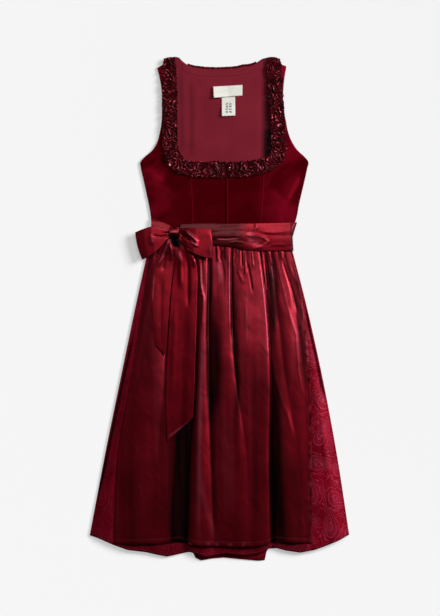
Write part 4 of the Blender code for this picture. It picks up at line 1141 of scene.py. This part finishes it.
# %% Sash across the front
SHADE_LEFT, SHADE_RIGHT = 85.5, 141.9  # painted shade darkens it beyond these
SOFT_HIGHLIGHT = ((64.4, 172.3), (85.5, 155.8), (92.6, 144.1))  # points along a wide, soft painted highlight
x, y, v = band_grid(SASH, 64, 200)
z = draped(x, y, UNDER_SASH, 8, 6, 24, 3) + 2.0 + 1.6 * np.sin(math.pi * v) ** 0.6
pleats = np.abs(np.sin(math.pi * (2.6 * v + 0.2 * np.sin(x / 31))))
z = z + 0.45 * pleats + 0.4 * waviness(x, y * 2.2, 41, 18) + 0.4 * creases(x, y, SASH_CREASES, 0.3)
side = np.interp(y[:, -1:], column(SASH_SIDE, 0)[::-1], column(SASH_SIDE, 1)[::-1])
turn = np.linspace(0, math.pi / 2, 14)[None, 1:]
x = np.hstack([x, between(x[:, -1:], side + 2.4, np.sin(turn))])
z = np.hstack([z, between(z[:, -1:], 2.6, 1 - np.cos(turn))])
y = np.hstack([y, y[:, -1:] + 0 * turn])
# Painted shade in the pleats' hollows, on the left part, at the right end, in the knot's opening and on the
# turn under the side; painted highlights along the wide glow and the hair-thin crests.
hollow = 0.55 * smooth((blur(z, 30) - z - 0.1) / 1.6) + 0.8 * smooth((SHADE_LEFT - x) / 50)
hollow = hollow + 0.2 * smooth((x - SHADE_RIGHT) / 10) + knot_shade(x, y)
hollow[:, -turn.size:] += 0.5
lit = crease(x, y, SOFT_HIGHLIGHT, 9, 0.2)
lit = lit + creases(x, y, [(path, HAIR_WIDTH, HAIR_STRENGTH) for path in SASH_LIT], 0.1)
cloth("sash_across", "sash_front", (x, y, z), 1.2, satin, True, hollow=hollow, lit=lit)

# %% Sash stretch from the left side, and the sash across the back
x, y, v = band_grid(SASH_LEFT, 50, 70)
z = draped(x, y, UNDER_SASH + ["sash_across"], 8, 6, 10, 3) + 1.8 + 1.2 * np.sin(math.pi * v)
z = z + 0.7 * np.abs(np.sin(math.pi * (2 * v + 0.2 * np.sin(x / 20)))) + 0.4 * waviness(x, y, 43, 12)
# Painted shade over the whole stretch, deeper in its hollows and in the knot's opening.
hollow = 0.35 + 0.6 * smooth((blur(z, 30) - z - 0.1) / 1.6) + knot_shade(x, y)
cloth("sash_from_side", "sash_left", (x, y, z), 1.2, satin, True, hollow=hollow)
x = between(-159.8, 168.7, row_shares(24))
y = between(WAIST_Y, WAIST_Y - 22, column_shares(8))
cloth("sash_behind", "sash_back", (x, y, 1.4), 1.3, satin)

# %% Ties over the apron
TIE_LEFT = (
    # y, left, right
    (165.2, -124.6, -112.8),
    (153.5, -132.1, -110.9),
    (139.4, -141.5, -104.8),
    (125.3, -148.1, -103.4),
    (101.8, -152.8, -108.1),
    (68.9, -156.5, -112.3),
    (21.9, -158.9, -117.0),
    (-29.8, -156.0, -120.3),
    (-81.5, -150.4, -123.6),
)
TIE_RIGHT = (
    # y, left, right
    (165.2, -102.0, -93.1),
    (153.5, -97.3, -86.0),
    (139.4, -95.9, -71.9),
    (125.3, -101.0, -60.2),
    (101.8, -105.8, -53.1),
    (68.9, -110.0, -51.7),
    (21.9, -114.7, -53.1),
    (-29.8, -118.0, -54.5),
    (-81.5, -121.3, -55.5),
    (-142.6, -124.6, -57.8),
    (-201.4, -126.4, -59.7),
    (-250.7, -125.0, -62.5),
)
UNDER_TIES = ["gathered_apron", "skirt_front_panel", "sash_across", "sash_from_side"]


def tie(name, node, table, cut, shade, ridges, crests):
    """A hanging end whose last edge is cut on a slant: cut holds its height at the left and right."""
    data = np.array(table)
    s, t = row_shares(44), column_shares(150)
    y = between(data[0, 0], between(*cut, s), t)
    left, right = (np.interp(y, data[::-1, 0], data[::-1, k]) for k in (1, 2))
    past = np.clip(data[-1, 0] - y, 0, None)
    drift = (data[-1, 1:] - data[-2, 1:]) / (data[-2, 0] - data[-1, 0])
    x = between(left + drift[0] * past, right + drift[1] * past, s)
    z = draped(x, y, UNDER_TIES, 9, 22, 6, 2) + 1.9
    z = z + 0.5 * np.abs(np.sin(math.pi * 1.5 * s + 0.6)) * smooth(t * 6)
    z = z + creases(x, y, ridges, 0.25) + 0.35 * waviness(x, y, 51, 12, stretch=4)
    # Painted shade: the given share, deeper in the hollows and in the knot's opening; painted highlights
    # along the crests.
    hollow = shade + 0.8 * smooth((blur(z, 30) - z - 0.2) / 2) + knot_shade(x, y)
    cloth(name, node, (x, y, z), 1.2, satin, hollow=hollow, lit=creases(x, y, crests, 0.25))


# Each tie's ridges and its crests with painted highlights: points, width and height or strength.
TIE_LEFT_RIDGES = (
    (((-117.0, 172.3), (-123.6, 148.8), (-134.4, 120.6), (-149.5, 97.1)), 4.5, 2.2),
    (((-116.6, 153.5), (-110.9, 130.0), (-116.6, 111.2)), 3.0, 1.6),
    (((-126.0, 139.4), (-130.7, 111.2), (-135.4, 87.7)), 4.0, -1.4),
    (((-140.1, 87.7), (-137.7, 45.4), (-140.1, -48.6)), 6.0, -0.8),
)
TIE_LEFT_CRESTS = (
    (((-117.0, 174.6), (-121.3, 160.5), (-134.0, 122.9), (-150.4, 97.1)), 3.4, 0.35),
    (((-116.6, 165.2), (-113.3, 139.4), (-110.5, 122.9)), 1.8, 0.4),
    (((-153.7, 87.7), (-156.0, 45.4), (-157.9, 12.5)), 2.2, 0.3),
)
tie("tie_left", "tie_end_left", TIE_LEFT, (-85.1, -108.8), 0.25, TIE_LEFT_RIDGES, TIE_LEFT_CRESTS)
TIE_RIGHT_RIDGES = (
    (((-95.4, 139.4), (-90.7, 111.2), (-90.7, 45.4)), 5.0, 2.4),
    (((-79.0, 139.4), (-74.3, 101.8), (-74.3, -1.6)), 5.0, -2.2),
    (((-64.9, 125.3), (-57.8, 108.8), (-62.5, 97.1)), 3.0, 2.0),
    (((-102.5, 21.9), (-107.2, -95.6), (-111.9, -213.1)), 6.0, 0.9),
)
TIE_RIGHT_CRESTS = (
    (((-94.9, 139.4), (-94.5, 125.3), (-93.1, 111.2)), 4.0, 0.3),
    (((-63.9, 118.2), (-53.1, 113.5), (-49.8, 101.8)), 2.4, 0.45),
    (((-49.4, 111.2), (-51.7, 21.9), (-54.5, -95.6), (-58.8, -213.1)), 1.8, 0.12),
    (((-125.0, -302.4), (-93.1, -278.9), (-62.5, -255.4)), 2.0, 0.5),
)
tie("tie_right", "tie_end_right", TIE_RIGHT, (-311.8, -254.0), 0.05, TIE_RIGHT_RIDGES, TIE_RIGHT_CRESTS)

# %% Bow loops
LOOP_LEFT = (
    # upper x, upper y, lower x, lower y, lift
    (-112.8, 184.0, -112.8, 172.3, 0.4),
    (-126.0, 187.3, -124.8, 161.4, 3.5),
    (-142.4, 192.5, -137.7, 145.5, 6.5),
    (-161.2, 193.4, -151.8, 132.3, 8),
    (-180.0, 187.3, -167.3, 122.4, 6.5),
    (-197.9, 179.8, -181.4, 115.9, 3),
)
LOOP_RIGHT = (
    # upper x, upper y, lower x, lower y, lift
    (-99.2, 186.4, -99.2, 171.3, 0.4),
    (-88.4, 188.7, -89.3, 155.8, 4),
    (-74.3, 190.1, -76.6, 139.4, 8),
    (-55.5, 190.1, -57.8, 129.0, 10),
    (-36.7, 188.7, -38.1, 121.5, 8),
    (-20.2, 187.3, -16.9, 118.2, 3.5),
)
LOOP_REACH = 0.955  # share of the loop's length where the turn begins


def loop(name, node, table, seed, shade, ridges, crests):
    """Back layer from the knot out, a turn at the outer edge, and the front layer back to the knot."""
    data = np.array(table)
    away = 1 if data[-1, 0] > data[0, 0] else -1
    out = np.linspace(0, LOOP_REACH, 34)
    bend = np.linspace(-1, 1, 9)[1:-1] * math.pi / 2
    path = np.concatenate([out, LOOP_REACH + (1 - LOOP_REACH) * np.cos(bend), out[::-1]])
    v = column_shares(48)
    stations = np.linspace(0, 1, len(data))
    ends = [np.interp(path, stations, data[:, k])[None, :] for k in range(5)]
    upper_x, upper_y, lower_x, lower_y = (blur(line, 3) for line in ends[:4])
    x = between(upper_x, lower_x, v) + away * 3.0 * np.sin(math.pi * v) * path[None, :] ** 6
    y = between(upper_y, lower_y, v)
    n = len(out)
    ridge = np.abs(np.sin(math.pi * 2.5 * v + 0.3)) * np.exp(-((out - 0.1) / 0.12) ** 2)[None, :]
    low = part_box(node)[0].z / MM + 0.8 + 0 * x[:, :n]
    high = low + 2.3 + ends[4][:, :n] + ridge + 0.3 * waviness(x[:, :n], y[:, :n], seed, 9)
    high = np.maximum(high + creases(x[:, :n], y[:, :n], ridges, 0.25), low + 1.9)
    turn = between(low[:, -1:], high[:, -1:], (0.5 + 0.5 * np.sin(bend))[None, :])
    z = np.hstack([low, turn, high[:, ::-1]])
    # Painted shade in the knot's opening, the given share and the front layer's hollows; painted highlights
    # along its crests.
    hollow, lit = knot_shade(x, y) + shade, 0 * z
    hollow[:, -n:] += 0.6 * smooth((blur(high, 30) - high - 0.1) / 2)[:, ::-1]
    lit[:, -n:] = creases(x[:, -n:], y[:, -n:], crests, 0.25)
    if away > 0:
        x, y, z, hollow, lit = (part[::-1] for part in (x, y, z, hollow, lit))
    cloth(name, node, (x, y, z), 1.1, satin, True, hollow=hollow, lit=lit)


# Each loop's seed, painted shade, ridges and crests with painted highlights.
loop("bow_left", "bow_loop_left", LOOP_LEFT, 8, 0.1, (
    (((-158.9, 173.7), (-144.8, 169.9), (-128.3, 169.9), (-118.9, 178.4)), 2.0, -1.2),
    (((-158.9, 177.0), (-158.9, 162.9), (-156.5, 148.8)), 4.0, 0.9)), (
    (((-159.8, 174.6), (-159.3, 162.9), (-157.9, 153.5)), 3.0, 0.25),
    (((-116.6, 182.6), (-140.1, 188.7), (-158.9, 192.0)), 1.6, 0.15)))
loop("bow_right", "bow_loop_right", LOOP_RIGHT, 9, 0.24, (
    (((-93.1, 186.4), (-80.1, 181.4), (-65.3, 171.3), (-53.1, 159.1), (-53.8, 148.3),
      (-69.6, 157.2)), 2.6, 2.6),
    (((-93.1, 174.6), (-79.0, 169.0), (-67.2, 160.5)), 3.6, -3.4),
    (((-90.7, 155.8), (-79.0, 144.1), (-64.9, 137.0)), 4.0, -0.8),
    (((-27.3, 186.4), (-22.6, 162.9), (-24.9, 125.3)), 3.2, 1.2)), (
    (((-80.1, 181.4), (-65.3, 171.3), (-54.1, 159.1), (-55.0, 149.7),
      (-68.4, 158.6)), 1.5, 0.8),
    (((-22.1, 187.5), (-16.9, 169.9), (-18.6, 148.8), (-20.7, 118.2)), 1.5, 0.7)))

# %% Knot
KNOT_X = (-118.0, -95.4)
KNOT_Y = (188.2, 169.9)
LEDGE_Y, UNDER_Y = 179.3, 178.8  # the knot falls away below the first and gets painted shade below the second
KNOT_CREST = ((-117.0, 180.2), (-107.2, 180.7), (-96.4, 180.2))
low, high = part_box("bow_knot")
turn = np.linspace(0.02, math.pi - 0.02, 40)[:, None]
s = row_shares(30)
middle, reach = (KNOT_Y[0] + KNOT_Y[1]) / 2, (KNOT_Y[0] - KNOT_Y[1]) / 2
y = middle + reach * np.sign(np.cos(turn)) * np.abs(np.cos(turn)) ** 0.7 * (1 - 0.12 * np.sin(math.pi * s))
x = between(*KNOT_X, s) + 0 * turn
z = low.z / MM + 0.6 + (high.z - low.z) / MM * np.sin(turn) ** 0.5
z = z + 0.9 * np.sin(math.pi * s) - 2.2 * smooth((LEDGE_Y - y) / 8)
# Painted highlight along the crest, and painted shade under the ledge, over the whole knot and in the
# opening.
lit = crease(x, y, KNOT_CREST, 1.5, 0.8, 0.08)
hollow = 0.4 * smooth((UNDER_Y - y) / 3) + 0.25 + knot_shade(x, y)
x, y, z, hollow, lit = (part[::-1] for part in (x, y, z, hollow, lit))
cloth("knot", "bow_knot", (x, y, z), 1.1, satin, True, hollow=hollow, lit=lit)

# %% [markdown]
# ## Ruched trim
# The trim is a narrow ribbon gathered along its middle, so both its halves stand up in tight,
# uneven folds. A strip with its length stored on each point goes through a Geometry Nodes tree
# that turns length into folds: pitch, height, slant and unevenness are inputs, and the seed is
# fixed. One tree serves all five runs.


# %% Helpers for Geometry Nodes
def new_tree(name, inputs):
    """A tree with a geometry input and these others, given as socket kind and names."""
    tree = bpy.data.node_groups.new(name, "GeometryNodeTree")
    for kind, labels in (("Geometry", ["Geometry"]), *inputs.items()):
        for label in labels:
            tree.interface.new_socket(name=label, in_out="INPUT", socket_type="NodeSocket" + kind)
    tree.interface.new_socket(name="Geometry", in_out="OUTPUT", socket_type="NodeSocketGeometry")
    return tree, add(tree, "NodeGroupInput").outputs


def close_tree(tree, geometry, finish):
    whole = add(tree, "GeometryNodeRealizeInstances", None, {"Geometry": geometry})
    dressed = add(tree, "GeometryNodeSetMaterial", None, {"Geometry": whole.outputs[0], "Material": finish})
    add(tree, "NodeGroupOutput", None, {"Geometry": dressed.outputs[0]})


def grow(thing, tree, values):
    """Puts an object through a tree, its inputs set by their identifiers, and keeps the mesh."""
    sockets = {item.name: item.identifier for item in tree.interface.items_tree if item.in_out == "INPUT"}
    modifier = thing.modifiers.new(tree.name, "NODES")
    modifier.node_group = tree
    for key, value in values.items():
        modifier[sockets[key]] = value
    thing.update_tag()
    thing.data = final_mesh(thing)
    thing.modifiers.clear()


# %% Trim tree
ruche, given = new_tree("ruched_ribbon", {
    "Float": ["Fold pitch", "Fold height", "Slant", "Unevenness", "Flutter", "Seed"],
    "Material": ["Ribbon"]})
known = {
    "seed": given["Seed"],
    "pitch": given["Fold pitch"],
    "height": given["Fold height"],
    "slant": given["Slant"],
    "unevenness": given["Unevenness"],
    "flutter": given["Flutter"],
    "spot": add(ruche, "GeometryNodeInputPosition").outputs[0],
}
for name, kind in (("run", "FLOAT"), ("side", "FLOAT"), ("outward", "FLOAT_VECTOR"),
                   ("forward", "FLOAT_VECTOR")):
    stored = add(ruche, "GeometryNodeInputNamedAttribute", {"data_type": kind}, {"Name": name})
    known[name] = stored.outputs["Attribute"]
NOISES = (
    # name, scale, and what is added to the seed
    ("turning", 30.0, 9.0),
    ("wandering", 58.0, 0.0),
    ("shivering", 130.0, 5.0),
    ("rising", 60.0, 7.0),
    ("frilling", 95.0, 3.0),
    ("tilting", 130.0, 11.0),
)
for name, scale, more in NOISES:
    lay_out(ruche, known, (
        ("own_seed", MATH, "ADD", ("seed", more)),
        ("noise", "ShaderNodeTexNoise", {"noise_dimensions": "4D"},
         {"Vector": "spot", "Scale": scale, "Detail": 1.0, "W": "own_seed"}),
        (name, MATH, "SUBTRACT", ("noise", 0.5)),
    ))

# %% Folds: level lines of a wandering field, crests where it is whole and valleys half-way
lay_out(ruche, known, (
    ("turned", MATH, "MULTIPLY", ("turning", 6.0)),
    ("slanted", MATH, "MULTIPLY", ("turned", "slant")),
    ("aslant", MATH, "MULTIPLY", ("side", "slanted")),
    ("folds", MATH, "DIVIDE", ("run", "pitch")),
    ("slanted_folds", MATH, "ADD", ("folds", "aslant")),
    ("wander", MATH, "MULTIPLY", ("wandering", "unevenness")),
    ("uneven_folds", MATH, "ADD", ("slanted_folds", "wander")),
    ("shiver", MATH, "MULTIPLY", ("shivering", 0.4)),
    ("field", MATH, "ADD", ("uneven_folds", "shiver")),
    ("part", MATH, "FRACT", ("field",)),
    ("ramp", MATH, "MULTIPLY_ADD", ("part", 2.0, -1.0)),
    ("saw", MATH, "ABSOLUTE", ("ramp",)),
    ("crest", MATH, "POWER", ("saw", 1.7)),
    ("uneven", MATH, "MULTIPLY_ADD", ("rising", 1.6, 1.0)),
    ("even_lift", MATH, "MULTIPLY", ("crest", "height")),
    ("lift", MATH, "MULTIPLY", ("even_lift", "uneven")),
    ("up", "ShaderNodeCombineXYZ", None, {"Z": "lift"}),
))

# %% Edges flutter outwards, and folds tilt along the ribbon
lay_out(ruche, known, (
    ("off_middle", MATH, "ABSOLUTE", ("side",)),
    ("both_sides", MATH, "MULTIPLY", ("side", "off_middle")),
    ("even_edge", MATH, "MULTIPLY", ("both_sides", "flutter")),
    ("on_crest", MATH, "MULTIPLY", ("crest", 0.9)),
    ("frill", MATH, "MULTIPLY_ADD", ("frilling", 3.0, "on_crest")),
    ("edge", MATH, "MULTIPLY", ("even_edge", "frill")),
    ("tilt", MATH, "MULTIPLY", ("tilting", "height")),
    ("lean", MATH, "MULTIPLY", ("tilt", 0.9)),
    ("out", VECTORS, "SCALE", {0: "outward", "Scale": "edge"}),
    ("along", VECTORS, "SCALE", {0: "forward", "Scale": "lean"}),
    ("up_and_out", VECTORS, "ADD", ("up", "out")),
    ("shift", VECTORS, "ADD", ("up_and_out", "along")),
))
moved = add(ruche, "GeometryNodeSetPosition", None, {"Geometry": given["Geometry"], "Offset": known["shift"]})
# The crest share is stored for the ribbon's painted shade between folds and painted highlights on their
# edges.
marked = add(ruche, "GeometryNodeStoreNamedAttribute", {"data_type": "FLOAT", "domain": "POINT"},
             {"Geometry": moved.outputs[0], "Name": "crest", "Value": known["saw"]})
close_tree(ruche, marked.outputs[0], given["Ribbon"])
print(ruche.name, "has", len(ruche.nodes), "nodes")

# %% Trim runs
TRIM_LEFT = (
    # inner x, inner y, outer x, outer y
    (-108.1, 592.0, -123.1, 592.9),
    (-103.9, 581.2, -131.6, 581.2),
    (-102.5, 562.4, -134.9, 562.4),
    (-99.6, 515.4, -134.4, 515.4),
    (-99.6, 444.9, -133.5, 444.9),
    (-97.8, 375.1, -133.5, 369.9),
)
TRIM_FRONT_LEFT = (
    # inner x, inner y, outer x, outer y
    (-97.3, 374.8, -133.0, 369.7),
    (-94.5, 361.7, -129.2, 349.9),
    (-88.4, 351.3, -115.6, 331.6),
    (-75.2, 346.2, -93.1, 317.0),
    (-50.8, 345.2, -60.2, 311.4),
    (-17.9, 346.2, -17.9, 308.6),
    (15.5, 345.7, 18.3, 310.0),
)
TRIM_RIGHT = (
    # inner x, inner y, outer x, outer y
    (123.1, 593.8, 138.7, 589.6),
    (114.7, 583.5, 142.9, 577.9),
    (112.8, 562.4, 144.8, 561.4),
    (114.2, 515.4, 146.6, 515.4),
    (119.9, 444.9, 153.7, 444.9),
    (122.2, 383.8, 156.0, 380.9),
)
TRIM_FRONT_RIGHT = (
    # inner x, inner y, outer x, outer y
    (122.2, 383.8, 156.0, 380.5),
    (121.3, 366.8, 151.8, 353.2),
    (114.7, 357.4, 138.7, 334.9),
    (98.7, 352.3, 116.1, 322.2),
    (73.8, 348.0, 78.5, 313.7),
    (47.9, 346.2, 49.1, 310.4),
    (16.0, 345.7, 18.8, 310.0),
)
RIBBON_WALL = 0.9
TRIM_BACK = tuple((x, y - 3.1, x, y) for x, y, width in BACK_EDGE if width > 0)


def trim_run(name, node, table, seed, base=None, pitch=10.5, height=4.6, flutter=2.2, columns=48):
    """One run of ruched ribbon over the fronts, or flat at the height of its base."""
    data = np.array(table)
    centre = (data[:, :2] + data[:, 2:]) / 2
    length = distances(centre)
    steps = int(length[-1] / 0.7)
    along = np.linspace(0, length[-1], steps)
    ends = [blur(np.interp(along, length, data[:, k])[None, :], 60)[0][:, None] for k in range(4)]
    share = row_shares(columns)
    x, y = between(ends[0], ends[2], share), between(ends[1], ends[3], share)
    z = 0 * x + base if base else draped(x, y, FRONTS + ["back_lining"], 4, 24, 4, 2) + 1.6
    points = np.dstack([x, y, z + 0.8 * np.sin(math.pi * share)]).reshape(-1, 3) * MM
    faces = quads(steps, columns)[1]
    corner = points[faces[0]]
    if np.cross(corner[1] - corner[0], corner[2] - corner[0])[2] < 0:
        faces = faces[:, ::-1]
    mesh = bpy.data.meshes.new(name)
    mesh.from_pydata(points.tolist(), [], faces.tolist())
    outward = np.hstack([ends[2] - ends[0], ends[3] - ends[1], 0 * ends[0]])
    outward /= np.linalg.norm(outward, axis=1, keepdims=True)
    forward = np.stack([-outward[:, 1], outward[:, 0], 0 * along], axis=1)
    if (centre[1] - centre[0]) @ forward[0, :2] < 0:
        forward = -forward
    for key, kind, field, values in (
            ("run", "FLOAT", "value", np.repeat(along, columns) * MM),
            ("side", "FLOAT", "value", np.tile(share[0] * 2 - 1, steps)),
            ("outward", "FLOAT_VECTOR", "vector", np.repeat(outward, columns, axis=0).ravel()),
            ("forward", "FLOAT_VECTOR", "vector", np.repeat(forward, columns, axis=0).ravel())):
        mesh.attributes.new(key, kind, "POINT").data.foreach_set(field, values.astype(np.float32))
    strip = placed(name, mesh)
    grow(strip, ruche, {"Fold pitch": pitch * MM, "Fold height": height * MM, "Flutter": flutter * MM,
                        "Slant": 2.6, "Unevenness": 3.5, "Seed": seed, "Ribbon": ribbon})
    strip.data.shade_smooth()
    wall = strip.modifiers.new("wall", "SOLIDIFY")
    wall.thickness = RIBBON_WALL * MM
    wall.offset = -1
    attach(strip, "root")
    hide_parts(node)
    made[name] = strip
    print(name, "runs", round(length[-1]), "mm,", len(strip.data.polygons), "faces, one side",
          round(sum(face.area for face in strip.data.polygons), 4), "m2")


trim_run("ruche_left", "trim_left", TRIM_LEFT, 1.0)
trim_run("ruche_right", "trim_right", TRIM_RIGHT, 2.0)
trim_run("ruche_front_left", "trim_front_left", TRIM_FRONT_LEFT, 3.0)
trim_run("ruche_front_right", "trim_front_right", TRIM_FRONT_RIGHT, 4.0)
trim_run("ruche_back", "trim_back", TRIM_BACK, 5.0, base=0.9, pitch=16, height=0.6, flutter=0.7, columns=8)

# %% [markdown]
# ## Labels
# Two labels are sewn in below the back neck. The woven one is bare: only its tape and its stitches
# show. The size label below it holds plain numbers in two columns.

# %% Labels
LABELS = (
    # piece, node, corners from upper left clockwise
    ("woven_label", "brand_label",
     ((-15.5, 522.4), (53.6, 526.6), (53.1, 501.7), (-14.1, 495.6))),
    ("size_tag", "size_label",
     ((4.7, 497.0), (36.2, 498.9), (36.7, 454.3), (5.2, 452.8))),
)
for name, node, corners in LABELS:
    u, v = row_shares(40), column_shares(30)
    a, b, c, d = np.array(corners)
    x, y = (between(between(a[k], b[k], u), between(d[k], c[k], u), v) for k in (0, 1))
    rim = np.minimum(np.minimum(u, 1 - u) * 30, np.minimum(v, 1 - v) * 14)
    z = LINING_TOP + 1.1 + 0.35 * smooth(rim) + 0.35 * waviness(x, y, 61, 16)
    if name == "size_tag":
        z = z + 3.0 * smooth((v - 0.3) / 0.7) + 1.5 * v * (1 - u)
    else:
        z = z + 0.8 + 6.0 * smooth(0.9 - u * 1.6) * (0.4 + 0.6 * v)
    cloth(name, node, (x, y, z), 0.7, label_cloth)


def drawn_mesh(data, finish):
    """The mesh of a curve or a text, in one finish."""
    holder = placed("holder", data)
    mesh = final_mesh(holder)
    bpy.data.objects.remove(holder)
    mesh.materials.clear()
    mesh.materials.append(finish)
    return mesh


# %% Plain numbers on the size label
NUMBERS_X, NUMBERS_Y = 20.9, 480.1
print_curve = bpy.data.curves.new("size_numbers", "FONT")
print_curve.body = "34 36\n38 40\n42 44\n46 48"
print_curve.align_x = "CENTER"
print_curve.size = 6.4 * MM
print_curve.extrude = 0.05 * MM
print_curve.offset = 0.12 * MM
print_mesh = drawn_mesh(print_curve, ink)
for vertex in print_mesh.vertices:
    x, y = NUMBERS_X + vertex.co.x / MM, NUMBERS_Y + vertex.co.y / MM
    vertex.co = (x * MM, y * MM, (height_over(["size_tag"], x, y) + 0.1) * MM + vertex.co.z)
numbers = placed("size_numbers", print_mesh)
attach(numbers, "root")
print("size_numbers", len(print_mesh.polygons), "faces")

# %% [markdown]
# ## Sewing
# Rows of short stitches hold the hems, the facing and the labels. One Geometry Nodes tree lays them
# along a curve: it walks the curve at the pitch, puts one stitch at each step and turns it with the
# curve's direction.

# %% Stitch tree
sewing, given = new_tree("stitch_row", {"Float": ["Pitch", "Stitch length", "Thread radius"],
                                        "Material": ["Thread"]})
line = add(sewing, "GeometryNodeMeshToCurve", None, {"Mesh": given["Geometry"]}).outputs[0]
steps = add(sewing, "GeometryNodeCurveToPoints", {"mode": "LENGTH"},
            {"Curve": line, "Length": given["Pitch"]})
stitch = add(sewing, "GeometryNodeMeshCylinder", None, {"Vertices": 6, "Radius": given["Thread radius"],
                                                        "Depth": given["Stitch length"]}).outputs["Mesh"]
laid = add(sewing, "GeometryNodeInstanceOnPoints", None,
           {"Points": steps.outputs["Points"], "Instance": stitch, "Rotation": steps.outputs["Rotation"]})
close_tree(sewing, laid.outputs[0], given["Thread"])


def stitch_row(name, spots, under, finish, pitch=3.2):
    """Stitches in a line over the sheets under it; spots are its corners in millimetres."""
    spots = np.array(spots, float)
    length = distances(spots)
    along = np.linspace(0, length[-1], max(int(length[-1] / 2), 2))
    places = [(np.interp(t, length, spots[:, 0]), np.interp(t, length, spots[:, 1])) for t in along]
    mesh = bpy.data.meshes.new(name)
    mesh.from_pydata([(x * MM, y * MM, (height_over(under, x, y) + 0.15) * MM) for x, y in places],
                     [(k, k + 1) for k in range(len(places) - 1)], [])
    row = placed(name, mesh)
    grow(row, sewing, {"Pitch": pitch * MM, "Stitch length": pitch * 0.68 * MM, "Thread radius": 0.22 * MM,
                       "Thread": finish})
    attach(row, "root")
    print(name, len(row.data.polygons), "faces")


SKIRT_HEM_INSET = 4
FACING_INSET = 19
hem = np.array(APRON_HEM)
hem_x = np.linspace(-241.1, 207.7, 60)
hem_y = np.interp(hem_x, hem[:, 0], hem[:, 1]) + HEM_INSET
stitch_row("apron_hem_stitches", list(zip(hem_x, hem_y)), ["gathered_apron"], thread)
stitch_row("skirt_hem_stitches", [(x, y + SKIRT_HEM_INSET) for x, y in SKIRT_HEM[1:-1]],
           ["skirt_front_panel"], thread)
stitch_row("facing_stitches",
           [(x, y - FACING_INSET) for x, y, width in BACK_EDGE if width > 0],
           ["back_neck_facing", "back_lining"], thread)
for name, node, corners in LABELS:
    inner = [(x + 1.2 * u, y + 1.2 * v) for (x, y), u, v in zip(corners, (1, -1, -1, 1), (-1, -1, 1, 1))]
    stitch_row(name + "_stitches", inner[:2] if name == "size_tag" else inner + inner[:1], [name],
               label_thread, 2.4)

# %% [markdown]
# ## Hook
# A small bright hook of bent wire sits where the trim meets in front.

# %% Hook
BEND = (
    # share of the hook's box along x and y, height above it in millimetres
    (0.35, 0.05, 1.2),
    (0.3, 0.5, 1.8),
    (0.4, 0.85, 2.0),
    (0.62, 0.9, 2.0),
    (0.72, 0.6, 1.6),
)
low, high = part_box("front_hook")
hook_curve = bpy.data.curves.new("hook_wire", "CURVE")
hook_curve.dimensions = "3D"
hook_curve.bevel_depth = 0.7 * MM
hook_curve.bevel_resolution = 4
hook_curve.use_fill_caps = True
spline = hook_curve.splines.new("NURBS")
spline.points.add(len(BEND) - 1)
for point, (u, v, rise) in zip(spline.points, BEND):
    point.co = (between(low.x, high.x, u), between(low.y, high.y, v), high.z + rise * MM, 1)
spline.use_endpoint_u = True
spline.order_u = 3
wire = drawn_mesh(hook_curve, steel)
wire.shade_smooth()
hook = placed("hook_wire", wire)
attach(hook, "root")
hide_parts("front_hook")
print("hook_wire", len(wire.polygons), "faces")

# %% [markdown]
# ## Last step
# The view layer is brought up to date. The whole cut is larger.

bpy.context.view_layer.update()
